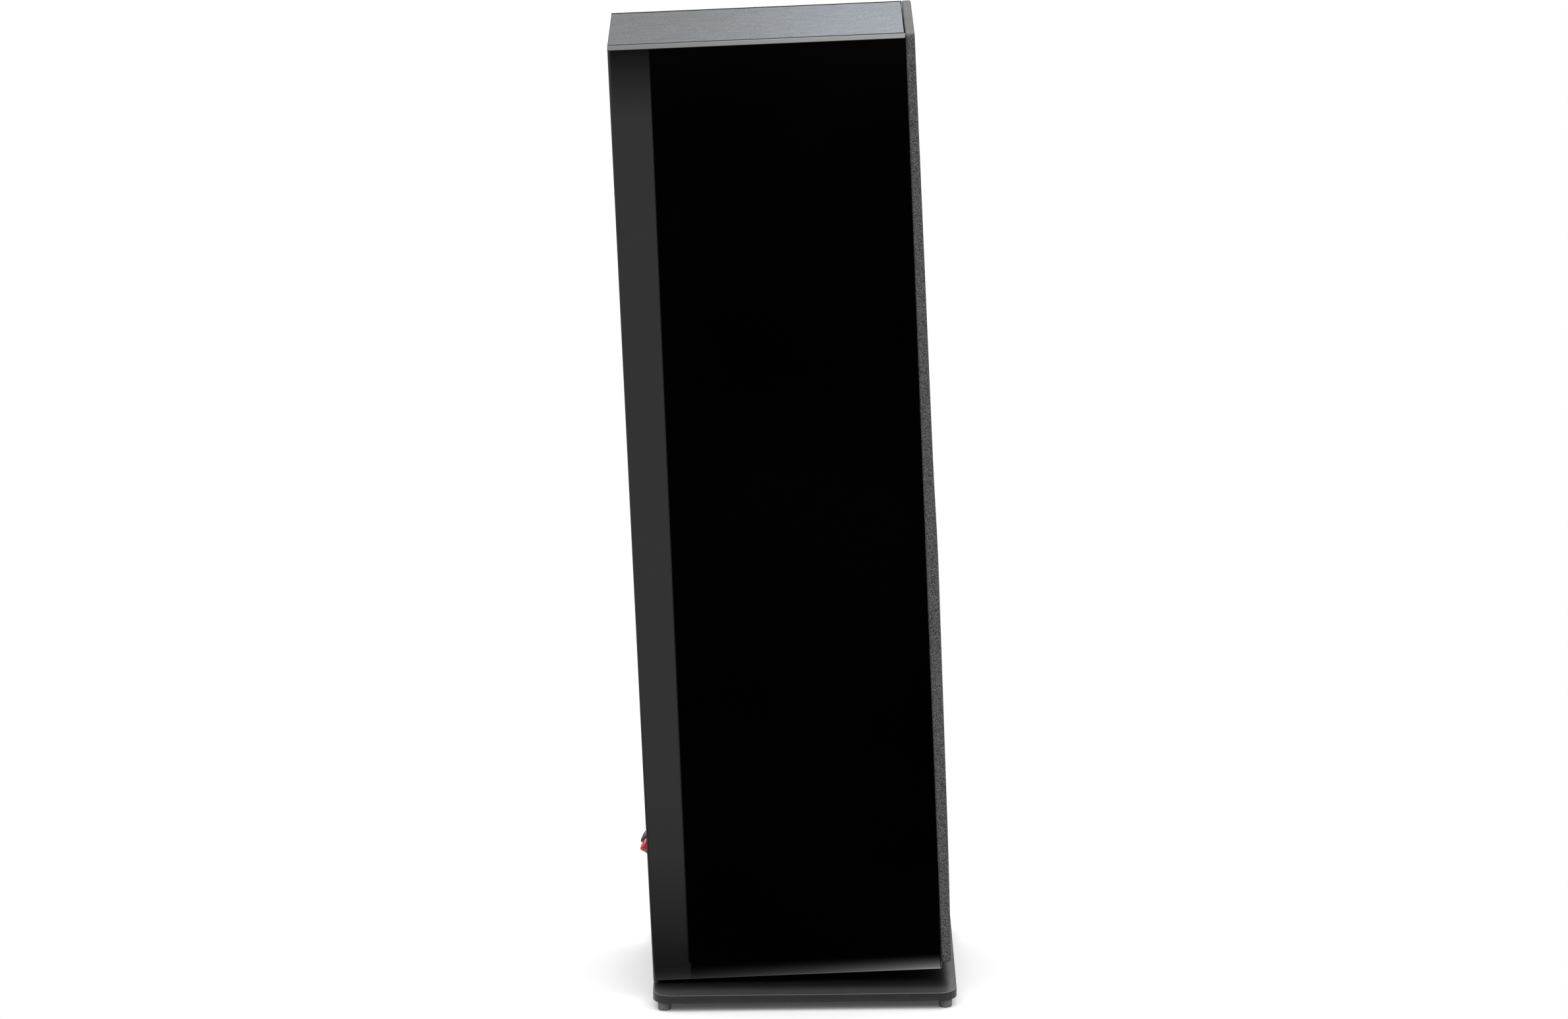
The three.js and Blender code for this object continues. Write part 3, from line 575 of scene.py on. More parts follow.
cover_low, cover_high = upright_box("top_cover")
for side, node in ((-1, "side_panel_left"), (1, "side_panel_right")):
    low, high = upright_box(node)
    outer, inner = (low.x, high.x) if side < 0 else (high.x, low.x)
    lip = side * (cover_high.x + LIP_GAP)
    rebate = high.z - REBATE
    outline = [
        (inner, low.z), (outer, low.z), (outer, high.z - TOP_CHAMFER),
        (outer - side * CHAMFER_RISE, high.z), (lip, high.z), (lip, rebate), (inner, rebate),
    ]
    weights = [0, BOTTOM_ROUND, CHAMFER_ROUND, CHAMFER_ROUND, 0, 0, 0]
    end_weights = [
        (SOFT_EDGE, REAR_EDGE), (FRONT_ROUND, REAR_ROUND), (SOFT_EDGE, REAR_EDGE), (0, 0),
        (0, 0), (0, 0), (0, SOFT_EDGE),
    ]
    bevelled(node + "_gloss", outline, (low.y, high.y), weights, end_weights, "gloss_lacquer", node)

shoulder = cover_high.z - COVER_PLATE
inner_half = abs(upright_box("rear_panel")[0].x)
outline = [
    (-inner_half, cover_low.z), (inner_half, cover_low.z), (inner_half, shoulder),
    (cover_rim, shoulder), (cover_rim, cover_high.z), (-cover_rim, cover_high.z),
    (-cover_rim, shoulder), (-inner_half, shoulder),
]
span = (cover_low.y + FRONT_GAP, cover_high.y)
weights = [0, 0, 0, 0, COVER_ROUND, COVER_ROUND, 0, 0]
end_weights = [(SOFT_EDGE, SOFT_EDGE)] * len(outline)
end_weights[4] = (COVER_ROUND, COVER_REAR_ROUND)
bevelled("top_cover_wrapped", outline, span, weights, end_weights, "top_vinyl", "top_cover")

# The baffle: a bowed board with rounded front edges and a chamfer behind its rim.
BAFFLE_ROUND = 2.2 * MM
SHADOW_GAP = 1.2 * MM
LEAST_FACE = 5 * MM  # corners of the CAD board nearer to the sub-baffle belong to its back
baffle_low, baffle_high = upright_box("front_baffle")
board_front = upright_box("sub_baffle")[0].y
face_points = {}
for point in upright_points("front_baffle"):
    if abs(abs(point.x) - baffle_high.x) < 1e-5:
        key = round(point.z, 4)
        face_points[key] = max(face_points.get(key, 0.0), board_front - point.y)
face_rows = sorted((z, depth) for z, depth in face_points.items() if depth > LEAST_FACE)
face_heights, face_depths = zip(*face_rows)


def baffle_depth(height):
    """Thickness of the bowed face at a height, with its slopes run together."""
    reach = np.linspace(-0.03, 0.03, 7)
    return float(np.interp(height + reach, face_heights, face_depths).mean())


baffle_middle = (baffle_low.z + baffle_high.z) / 2
half_width = baffle_high.x
half_height = (baffle_high.z - baffle_low.z) / 2
CORNER_ROUND = BAFFLE_ROUND + 0.6 * MM
SIDE_STEPS = 90
back_plane = board_front - baffle_high.y


def baffle_loop(inset, depth):
    loop = rounded_loop(half_width - inset, half_height - inset, CORNER_ROUND - inset, 6, SIDE_STEPS)
    return [(u, v, depth) for u, v in loop]


def baffle_lift(v, depth):
    """How far forward of the sub-baffle a depth from the bowed face, or a named plane, is."""
    if depth == "back":
        return back_plane
    if depth == "chamfer":
        return back_plane + SHADOW_GAP
    return baffle_depth(v + baffle_middle) + depth


baffle_loops = [
    *(baffle_loop(u, -drop) for u, drop in arc((BAFFLE_ROUND, BAFFLE_ROUND), BAFFLE_ROUND, 270, 180, 6)),
    baffle_loop(0, "chamfer"),
    baffle_loop(SHADOW_GAP, "back"),
]
DRIVERS = ["woofer_lower", "woofer_upper", "midrange"]
HOLE_GAP = 0.6 * MM
HOLE_BEVEL = 0.5 * MM
baffle_holes = []
for node in [driver + "_trim_ring" for driver in DRIVERS] + ["tweeter_faceplate", "port_tube"]:
    low, high = upright_box(node)
    radius = (high.x - low.x) / 2 + HOLE_GAP
    baffle_holes.append(((low.x + high.x) / 2, (low.z + high.z) / 2 - baffle_middle, [
        (radius + HOLE_BEVEL, 0.0), (radius + 0.3 * HOLE_BEVEL, -0.3 * HOLE_BEVEL),
        (radius, -HOLE_BEVEL), (radius, "back"),
    ]))
baffle_grid = [
    (x, z)
    for z in np.arange(-half_height + 6 * MM, half_height - 5 * MM, 10 * MM)
    for x in np.arange(-half_width + 8 * MM, half_width - 7 * MM, 14 * MM)
]
baffle = Shape(LEAN @ axes((0, board_front, baffle_middle), (0, -1, 0)))
drilled_plate(baffle, baffle_loops, baffle_holes, baffle_grid, baffle_lift)
baffle.piece("front_baffle_wrapped", "baffle_grain", replaces="front_baffle", sharp=40)


# ---- drivers
def on_baffle(node):
    """Axes forward from the sub-baffle, and a node's radius and reach in millimetres."""
    low, high = upright_box(node)
    centre = ((low.x + high.x) / 2, board_front, (low.z + high.z) / 2)
    return LEAN @ axes(centre, (0, -1, 0)), (high.x - low.x) / 2 / MM, (board_front - low.y) / MM


def trim_profile(r, a):
    """A flat satin ring with a fine bead inside its rim and a step down to the surround."""
    return [
        (r, 5.1), *arc((r - 1.0, a - 1.0), 1.0, 0, 90, 5),
        (r - 2.6, a), (r - 2.9, a - 0.35), (r - 3.5, a - 0.35), (r - 3.8, a), (r - 8.0, a),
        *arc((r - 8.0, a - 9.0), 9.0, 90, 128, 6),
        (72.9, a - 2.6), (72.6, a - 3.0), (72.6, 6.7), (77.1, 6.7), (77.1, 5.1),
    ]


def surround_profile(front):
    """A rubber half roll, kept just behind its trim ring's face, with its two glued lips."""
    middle, seat, radius, wall = 65, 6.3, 6.4, 0.9
    rise = min(radius, front - seat - 0.3)
    outer = [(r, seat + a * rise / radius) for r, a in arc((middle, 0), radius, 0, 180, 22)]
    inside = radius - 1.0
    inner = [(r, seat + a * (rise - wall) / inside) for r, a in arc((middle, 0), inside, 180, 0, 22)]
    return [
        (76.0, 5.1), (76.0, 6.2), (75.6, 6.3), (72.2, 6.3), (71.6, 6.5),
        *outer[1:-1],
        (58.4, 6.5), (57.8, 6.25), (54.9, 6.2), (54.5, 5.9), (54.5, 5.1), (59.4, 5.1),
        *inner[1:-1],
        (70.6, 5.1),
    ]


def cone_profile():
    """A slightly flared cone with a flange that the surround is glued to."""
    run = [(54.6 - 37.3 * t, 4.8 - 25.3 * t - 1.3 * sin(pi * t)) for t in np.linspace(0, 1, 15)]
    back = [(radius + 0.5, along - 1.3) for radius, along in reversed(run)]
    return [(58.2, 4.8), *run, (17.3, -24.0), (18.7, -24.0), *back[1:], (58.2, 3.3)]


def dome_bend(radius, height):
    """Radius of the sphere that a shallow dome is part of, and its reach in degrees."""
    bend = (radius ** 2 + height ** 2) / (2 * height)
    return bend, degrees(asin(radius / bend))


def dust_cap_profile():
    radius, height, seat, wall = 24.0, 8.0, -15.2, 0.9
    bend, reach = dome_bend(radius, height)
    top = seat + height
    outside = arc((0, top - bend), bend, 90 - reach, 90, 16)[:-1]
    inside = arc((0, top - bend), bend - wall, 90, 90 - reach, 16)[1:]
    return [(24.6, seat - 0.4), *outside, (0, top), (0, top - wall), *inside, (23.6, seat - wall)]


def spider_profile():
    """A corrugated cloth disc."""
    waves = [(17.4 + 26.6 * t, -54.0 + 0.9 * sin(TURN * 4 * t)) for t in np.linspace(0, 1, 49)]
    return [(r, a + 0.25) for r, a in waves] + [(r, a - 0.25) for r, a in reversed(waves)]


def blended(made):
    """Bakes the piece's placement into its points; the piece rides no body."""
    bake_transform(made)


for driver in DRIVERS:
    place, radius, front = on_baffle(driver + "_trim_ring")
    moving = driver + "_diaphragm"
    for profile, steps, suffix, material, body, replaced, bends in (
        (trim_profile(radius, front), 160, "trim", "trim_plastic", "root", "trim_ring", None),
        (surround_profile(front), 144, "half_roll", "surround_rubber", moving, "surround", (58.3, 71.5)),
        (cone_profile(), 144, "cone_skin", "cone_skin", moving, "cone", None),
        (dust_cap_profile(), 128, "dome_cap", "dust_cap_skin", moving, "dust_cap", None),
        (spider_profile(), 96, "corrugated_spider", "spider_cloth", moving, "spider", (18.0, 43.5)),
    ):
        made = turned(
            place, profile, steps, f"{driver}_{suffix}", material, body, f"{driver}_{replaced}",
            riding=not bends,
        )
        if bends:
            blended(made)

# The tweeter: a shallow horn plate, a soft dome with its roll, and a three-spoke guard.
place, r, a = on_baffle("tweeter_faceplate")
horn = [
    (39.4 - 20.4 * t, a - (a - 5.2) * (1 - cos(pi / 2 * t)) ** 0.9)
    for t in np.linspace(0.05, 1, 18)
]
turned(place, [
    (r, 0.3), *arc((r - 0.8, a - 0.8), 0.8, 0, 90, 5),
    (41.2, a), (40.9, a - 0.3), (40.2, a - 0.3), (39.9, a - 0.05), *horn,
    (17.6, 5.0), (16.7, 4.6), (16.4, 4.2), (16.4, 0.3),
], 160, "tweeter_horn_plate", "trim_plastic", replaces="tweeter_faceplate")
DOME_RADIUS = 12.9
DOME_HEIGHT = 3.6
DOME_SEAT = 1.2
DOME_SKIN = 0.4


def dome_skin(lift):
    bend, reach = dome_bend(DOME_RADIUS, DOME_HEIGHT)
    seat, top = DOME_SEAT + lift, DOME_SEAT + DOME_HEIGHT + lift
    roll = arc((14.25, seat), 1.3, 0, 180, 10)
    crown = arc((0, top - bend), bend, 90 - reach, 90, 16)[1:-1]
    return [(15.6, seat), *roll[1:-1], (DOME_RADIUS, seat + 0.05), *crown, (0, top)]


turned(
    place, [*dome_skin(DOME_SKIN), *reversed(dome_skin(0.0))], 128,
    "tweeter_soft_dome", "dome_fabric", "tweeter_diaphragm", "tweeter_dome",
)

guard = Shape(place)
guard.turn(arc((18.9, 6.6), 0.95, 0, 360, 16)[:-1], 144)
guard.turn([(0, 5.9), (2.0, 5.9), (2.5, 6.4), (2.5, 7.0), (2.1, 7.4), (0, 7.5)], 48)
for angle in (90, 210, 330):
    turn = Matrix.Rotation(radians(angle), 4, "Z")
    rings = guard.loft([
        [
            turn @ Vector((
                1.6 + 17.0 * t,
                (0.75 - 0.15 * sin(pi * t)) * cos(b),
                6.6 + 0.35 * sin(pi * t) + 0.55 * sin(b),
            )) * MM
            for b in np.linspace(0, TURN, 12, endpoint=False)
        ]
        for t in np.linspace(0, 1, 9)
    ])
    guard.cap(reversed(rings[0]))
    guard.cap(rings[-1])
guard.piece("tweeter_spoked_guard", "guard_metal", replaces="tweeter_guard")


SOCKET = 0.5  # radius of a screw's socket as a share of its head's


def hexagon(head):
    """Ripple that turns the circles of the socket into hexagons."""
    def ripple(radius, along, angle):
        if radius > head * (SOCKET + 0.1):
            return radius
        sector = (angle % (pi / 3)) - pi / 6
        return radius * cos(pi / 6) / cos(sector)
    return ripple


def four_screws(name, place, reach, seat, radius, height):
    """Domed screw heads with hexagonal sockets, reach from the middle."""
    base, top = seat - 0.3, seat + height
    screws = Shape(place)
    for u, v in circle(reach * MM, 8)[1::2]:
        screws.turn([
            (0, base), (radius, base), (radius, seat), *arc((radius - height, seat), height, 0, 90, 5),
            (radius * SOCKET, top), (radius * (SOCKET - 0.02), top - 0.6), (0, top - 0.65),
        ], 48, hexagon(radius), Matrix.Translation((u, v, 0)))
    screws.piece(name, "stud_steel", sharp=28)


SCREW_REACH = 46
four_screws("tweeter_screws", place, SCREW_REACH, a, 2.4, 0.5)

# The port: a flared mouth, a straight bore and a flared inner end, one wall thick.
place, r, a = on_baffle("port_tube")
end = (board_front - upright_box("port_tube")[1].y) / MM
turned(place, [
    (r, 0.3), *arc((r - 0.7, a - 0.7), 0.7, 0, 90, 4),
    (r - 2.2, a), (r - 2.45, a - 0.25), (r - 2.9, a - 0.25), (r - 3.15, a),
    *arc((43, a - 11), 11, 90, 180, 16), (32, end + 14), (32.4, end + 10), (34.2, end + 4),
    (37, end), (40, end), (37.4, end + 5), (35.4, end + 11), (35, end + 14), (35, 0.3),
], 144, "port_flared_tube", "port_plastic", replaces="port_tube")

# ---- terminal cup and posts
cup_low, cup_high = upright_box("terminal_cup")
cup_centre = Vector(((cup_low.x + cup_high.x) / 2, 0, (cup_low.z + cup_high.z) / 2))
plate_half = (cup_high.x - cup_low.x) / 2
plate_front = cup_high.y
plate_back = plate_front - 2 * MM
POST_AXIS = Vector(JOINTS["positive_turn"]["axis"]).normalized()
POSTS = {name: Vector(JOINTS[name + "_turn"]["pos_m"]) for name in ("positive", "negative")}
post_up = (UPRIGHT.to_3x3() @ POST_AXIS).normalized()
wall_point = UPRIGHT @ POSTS["positive"]


def cup_wall(z):
    """Depth of the sloping wall at a height: it is square to the posts."""
    return wall_point.y - (z - wall_point.z) * post_up.z / post_up.y


def cup_loop(half_x, low, high, radius, y, sloping=False):
    """A loop round the recess at a depth, or that far off the sloping wall."""
    middle = (low + high) / 2
    loop = rounded_loop(half_x, (high - low) / 2, radius, 6)
    return [
        (cup_centre.x + u, y + (cup_wall(middle + v) if sloping else 0), middle + v)
        for u, v in loop
    ]


CUP_WALL = 2.4 * MM
CUP_ROUND = 1.2 * MM  # where the walls meet the sloping wall
MOUTH_ROUND = 4 * MM
PLATE_CORNER = 8 * MM
PLATE_EDGE = 1 * MM
mouth_half = 40 * MM
mouth_low, mouth_high = cup_centre.z - 38 * MM, cup_centre.z + 38 * MM
shelf = cup_centre.z + 32 * MM
outer_low, outer_high = cup_centre.z - plate_half, cup_centre.z + plate_half
plate_rim = cup_loop(plate_half, outer_low, outer_high, PLATE_CORNER, plate_back)
cup_shape = Shape(LEAN)
inside = cup_shape.loft([
    plate_rim,
    *(
        cup_loop(plate_half - u, outer_low + u, outer_high - u, PLATE_CORNER - u, plate_front - v)
        for u, v in arc((PLATE_EDGE, PLATE_EDGE), PLATE_EDGE, 180, 270, 4)
    ),
    *(
        cup_loop(mouth_half + u, mouth_low - u, mouth_high + u, MOUTH_ROUND + u, plate_front - v)
        for u, v in ((1.0 * MM, 0), (0.3 * MM, 0.3 * MM), (0, 1.0 * MM))
    ),
    cup_loop(mouth_half, mouth_low + 1 * MM, shelf, MOUTH_ROUND, CUP_ROUND, sloping=True),
    cup_loop(mouth_half - CUP_ROUND, mouth_low + 2 * MM, shelf - CUP_ROUND, 3 * MM, 0, sloping=True),
])
outside = cup_shape.loft([
    plate_rim,
    cup_loop(mouth_half + CUP_WALL, mouth_low - CUP_WALL, mouth_high + CUP_WALL, 5 * MM, plate_back),
    cup_loop(mouth_half + CUP_WALL, mouth_low - CUP_WALL, shelf + CUP_WALL, 5 * MM, -CUP_WALL, True),
])
cup_shape.cap(inside[-1])
cup_shape.cap(outside[-1])
for point in POSTS.values():
    cup_shape.turn([
        (3.4, -0.5), (8.6, -0.5), (8.6, 0.6), *arc((8.6, 1.2), 0.6, 270, 180, 4),
        (8.0, 7.4), *arc((7.4, 7.4), 0.6, 0, 90, 4), (3.9, 8.0), (3.4, 7.5),
    ], 72, place=axes(UPRIGHT @ point, post_up))
cup_shape.piece("terminal_cup_moulding", "cup_plastic", replaces="terminal_cup")

CUP_SCREW_REACH = 44.2 * 2 ** 0.5
cup_face = LEAN @ axes((cup_centre.x, plate_front, cup_centre.z), (0, 1, 0))
four_screws("terminal_screws", cup_face, CUP_SCREW_REACH, 0, 2.8, 0.6)

FLUTES = 18
# Millimetres, as in every turned profile.
PITCH = 1
THREAD_DEPTH = 0.3
THREAD_RADIUS = 3
GRIP = (12.95, 27.5)
GRIP_INSIDE = 6.5
FLUTE_DEPTH = 0.55


def threaded(first, last):
    """Ripple that cuts a right-hand thread between two heights."""
    def ripple(radius, along, angle):
        if not first < along < last:
            return radius
        phase = (along / PITCH - angle / TURN) % 1.0
        return radius - THREAD_DEPTH * abs(2 * phase - 1)
    return ripple


def thread_rows(first, last, count):
    return [(THREAD_RADIUS, first + (last - first) * i / count) for i in range(count + 1)]


def fluted(radius, along, angle):
    """Ripple that sinks grooves into the outside of a post's grip."""
    if not GRIP[0] < along < GRIP[1] or radius < GRIP_INSIDE:
        return radius
    return radius - FLUTE_DEPTH * max(0.0, cos(FLUTES * angle)) ** 3


for name, point in POSTS.items():
    place = axes(point, POST_AXIS)
    turned(place, [
        (0, -10), (2.7, -10), *thread_rows(-9.6, 33.4, 257),
        (2.7, 34), (2.3, 34), (2.1, 33.7), (2.1, 15), (0, 14.2),
    ], 64, name + "_threaded_stud", "post_brass", "root", name + "_post_stud", threaded(-9, 33))
    turned(place, [
        (3.4, 8.5), (3.6, 8.3), (6.6, 8.3), *arc((6.6, 8.7), 0.4, 270, 360, 4),
        *arc((6.6, 9.9), 0.4, 0, 90, 4), (3.6, 10.3), (3.4, 10.1),
    ], 72, name + "_clamp_washer", "post_brass", name + "_washer", name + "_post_washer")
    turned(place, [
        (3.4, 10.9), (3.7, 10.6), (6.6, 10.6), (7.0, 10.9), (7.0, 11.7),
        *arc((6.9, 12.4), 0.7, -60, 0, 3), (7.6, 12.9), (7.6, 14.0), (7.6, 27.0), (7.6, 27.9),
        (7.3, 28.3), (6.3, 28.3), (6.3, 27.0), (3.4, 27.0),
    ], 192, name + "_fluted_grip", "cap_black", name + "_cap", name + "_post_cap", ripple=fluted, sharp=50)
    turned(place, [
        (3.4, 27.4), (6.0, 27.4), (6.0, 28.5), (6.9, 28.6), *arc((6.4, 29.3), 0.7, -30, 0, 3),
        (7.0, 33.6), *arc((5.0, 34.0), 2.0, 0, 90, 8), (4.1, 36.0), (3.6, 35.8), (3.4, 35.4),
    ], 96, name + "_cap_end", "cap_red" if name == "positive" else "cap_black", name + "_cap")

# ---- foam inside
pad_low, pad_high = upright_box("damping_pad")
FOAM_PITCH = 32 * MM
FOAM_SWING = 5 * MM
FOAM_RIM_DROP = 4 * MM
FOAM_RIM = 1 / 12  # share of the pad over which the waves die out at its rim
FOAM_GRID = 60


def foam_front(u, v):
    """Egg-crate face: the sheet stands off its rim and dips between the peaks."""
    x = pad_low.x + (pad_high.x - pad_low.x) * u
    z = pad_low.z + (pad_high.z - pad_low.z) * v
    rim = min(1.0, min(u, 1 - u, v, 1 - v) / FOAM_RIM)
    wave = cos(TURN * (x - pad_low.x) / FOAM_PITCH) * cos(TURN * (z - pad_low.z) / FOAM_PITCH)
    return x, pad_low.y + FOAM_SWING * (1.0 - wave * rim) + FOAM_RIM_DROP * (1 - rim) ** 2, z


def foam_back(u, v):
    x, _, z = foam_front(u, v)
    return x, pad_high.y, z


foam = Shape(LEAN)
row = FOAM_GRID + 1
top, back = (
    foam.add(
        [at(i / FOAM_GRID, j / FOAM_GRID) for j in range(row) for i in range(row)],
        [(k, k + 1, k + row + 1, k + row) for k in range(row * FOAM_GRID) if k % row < FOAM_GRID],
    )
    for at in (foam_front, foam_back)
)
ids = np.arange(row * row).reshape(row, row)
edge = [*ids[0], *ids[1:, -1], *ids[-1, -2::-1], *ids[-2:0:-1, 0]]
foam.bridge([top[i] for i in edge], [back[i] for i in edge])
made = foam.piece("convoluted_foam_pad", "damping_foam", replaces="damping_pad", sharp=60)

# ---- plinth and feet
plinth_low, plinth_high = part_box("plinth")
plinth_middle = (plinth_low + plinth_high) / 2
plinth_half = (plinth_high - plinth_low) / 2
PLINTH_CORNER = 18.5 * MM
PLINTH_EDGE = 1.1 * MM
PLINTH_LOWER_EDGE = 0.6 * MM
STUD_HOLE = 3.2 * MM
STUD_DEPTH = 8 * MM
STUD_BEVEL = 0.3 * MM
thickness = plinth_high.z - plinth_low.z


def plinth_loop(inset, depth):
    loop = rounded_loop(plinth_half.x - inset, plinth_half.y - inset, PLINTH_CORNER - inset, 20)
    return [(u, v, depth) for u, v in loop]


top_rows = [(u, -v) for u, v in arc((PLINTH_EDGE, PLINTH_EDGE), PLINTH_EDGE, 270, 180, 5)]
lower = PLINTH_LOWER_EDGE
bottom_rows = [(u, v - thickness) for u, v in arc((lower, lower), lower, 180, 270, 4)]
FEET = ["foot_front_left", "foot_front_right", "foot_rear_left", "foot_rear_right"]
foot_points = {name: Vector(JOINTS[name + "_turn"]["pos_m"]) for name in FEET}
plinth_holes = [
    (point.x - plinth_middle.x, point.y - plinth_middle.y, [
        None, (STUD_HOLE + STUD_BEVEL, -thickness), (STUD_HOLE, STUD_BEVEL - thickness),
        (STUD_HOLE, STUD_DEPTH - thickness),
    ])
    for point in foot_points.values()
]
plinth = Shape(axes((plinth_middle.x, plinth_middle.y, plinth_high.z), (0, 0, 1)))
plinth_loops = [plinth_loop(inset, depth) for inset, depth in top_rows + bottom_rows]
drilled_plate(plinth, plinth_loops, plinth_holes, [], lambda v, depth: depth)
plinth.piece("plinth_plate", "plinth_powder", replaces="plinth", sharp=30)

for name, point in foot_points.items():
    place = axes((point.x, point.y, 0), (0, 0, 1))
    turned(place, [
        (2.2, 0.0), (5.9, 0.0), *arc((5.9, 1.1), 1.1, 270, 360, 6),
        (7.0, 7.9), (6.85, 8.1), (6.85, 8.4), (7.0, 8.6), (7.0, 9.0), (6.8, 9.2),
        (3.5, 9.2), (3.3, 9.0), (3.3, 5.6), (5.2, 5.6), (5.2, 3.0), (2.0, 3.0), (2.0, 0.2),
    ], 72, name + "_glide_pad", "foot_rubber", name + "_glide", name + "_pad")
    turned(place, [
        (0, 4.6), (1.3, 4.6), (1.3, 3.3), (4.6, 3.3), (4.8, 3.5), (4.8, 5.1), (4.6, 5.3),
        (3.0, 5.3), *thread_rows(5.5, 16.4, 65), (2.4, 17.0), (0, 17.0),
    ], 64, name + "_levelling_stud", "stud_steel", name + "_screw", name + "_stud", threaded(5.6, 16.2))

# ---- CAD nodes that stay
STAYING = {
    "riser_board": ["bottom_panel", "plinth_riser"],
    "rear_vinyl": ["rear_panel"],
    "bare_board": ["sub_baffle", "window_brace", "chamber_partition"],
    "circuit_board": ["crossover_board"],
    "loom_sleeve": ["wiring_loom"],
    "basket_metal": [driver + "_basket" for driver in DRIVERS],
    "motor_steel": ["tweeter_motor"] + [driver + "_motor" for driver in DRIVERS],
    "coil_copper": ["crossover_inductor", "tweeter_voice_coil"] + [d + "_voice_coil" for d in DRIVERS],
}
for material, nodes in STAYING.items():
    for node in nodes:
        shown = frame["nodes"][node]
        shown.data.materials.clear()
        shown.data.materials.append(MATERIALS[material])

# ---- stage, light and camera
FLOOR_ALBEDO = 0.37
FLOOR_GLOW = 0.05
FLOOR_FADE = 0.1  # metres outside the plinth over which the floor turns plain white
FLOOR_RADIUS = 40
SKY_LOW = 0.5
SKY_HIGH = 4.5
SKY_RISE = (0.1, 0.85)  # how high the sky starts to brighten and stops, as the sine of its angle


def stage_mesh(name, points, only_reflections=True):
    """A flat stage piece in the material of its own name."""
    made = new_mesh(name, points, [tuple(range(len(points)))], name)
    if only_reflections:
        for rays in ("camera", "diffuse", "transmission", "volume_scatter", "shadow"):
            setattr(made, "visible_" + rays, False)


def stage_finish(name):
    """A matt stage material, black until something is linked to its emission."""
    return Finish(name, Base_Color=BLACK, Roughness=1.0, Specular_IOR_Level=0.0, Emission_Color=WHITE)


# The floor: pale and matt under the speaker, with a faint painted glow there that lifts its shade, and
# plain white further out.
made = stage_finish("floor")
far = made.fade(made.outside(plinth_half.x, plinth_half.y), 0.0, FLOOR_FADE)
made.paint(far, (0.0, FLOOR_GLOW), (1.0, 1.0), socket="Emission Strength")
made.paint(far, (0.0, FLOOR_ALBEDO), (1.0, 0.0))
stage_mesh("floor", [(x, y, 0) for x, y in circle(FLOOR_RADIUS, 64)], only_reflections=False)

# Cards on the floor beside the speaker, seen only in its gloss sides: black, but for a pale area
# towards the rear whose edge a side shows as a band, and a dim glow far away.
CARD_HEIGHT = 1 * MM
CARD_NEAR = plinth_half.x + 30 * MM
CARD_FAR = 400.0
BAND_EDGE = 0.1065
BAND_SOFTNESS = 1.5 * MM
BAND_END = 6.05  # metres from the side panel
BAND_TONES = (
    (0.0, 0.2), (0.026, 0.24), (0.042, 0.4), (0.09, 0.72), (0.15, 0.82), (0.86, 0.82), (1.0, 0.0),
)

# A soft glow along the bottom of each side, brighter towards the front: a card lying on the plinth.
plinth_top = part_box("plinth")[1][2]
panel_low, panel_high = upright_box("side_panel_left")
bottom_front = LEAN @ Vector((0, panel_low.y, panel_low.z))
bottom_rear = LEAN @ Vector((0, panel_high.y, panel_low.z))
MIRROR_SLOPE = 3.14  # run of the mirrored view for each unit of height
GLOW_HEIGHT = 0.3 * MM
GLOW_REACH = 60 * MM
GLOW_REAR = 0.46
GLOW_RISE = (1.7, 0.9)  # growth towards the front, and the growth of that growth
GLOW_POWER = 2.7
BAND_FOOT = 0.21
run_front, run_rear = ((point.z - plinth_top) * MIRROR_SLOPE for point in (bottom_front, bottom_rear))


def away(made, side):
    """Distance outward from the side panel's face."""
    return made.math("MULTIPLY_ADD", made.along("X"), side, -panel_half)


def card(side, name, slope, clear, full):
    """slope is that of the band's edge; the glow of the rest starts at clear and is whole at full."""
    made = stage_finish(name)
    distance = away(made, side)
    edge = made.math("MULTIPLY_ADD", distance, slope, BAND_EDGE)
    pale = made.fade(made.math("SUBTRACT", made.along("Y"), edge), -BAND_SOFTNESS, BAND_SOFTNESS)
    band = made.math("MULTIPLY", pale, made.ramp(made.math("DIVIDE", distance, BAND_END), *BAND_TONES))
    made.link(made.math("ADD", band, made.fade(distance, clear, full, 0.0, SKY_LOW)), "Emission Strength")
    xs = (CARD_NEAR, CARD_FAR, CARD_FAR, CARD_NEAR)
    ys = (-FLOOR_RADIUS, -FLOOR_RADIUS, FLOOR_RADIUS, FLOOR_RADIUS)
    stage_mesh(name, [(side * x, y, CARD_HEIGHT) for x, y in zip(xs, ys)])


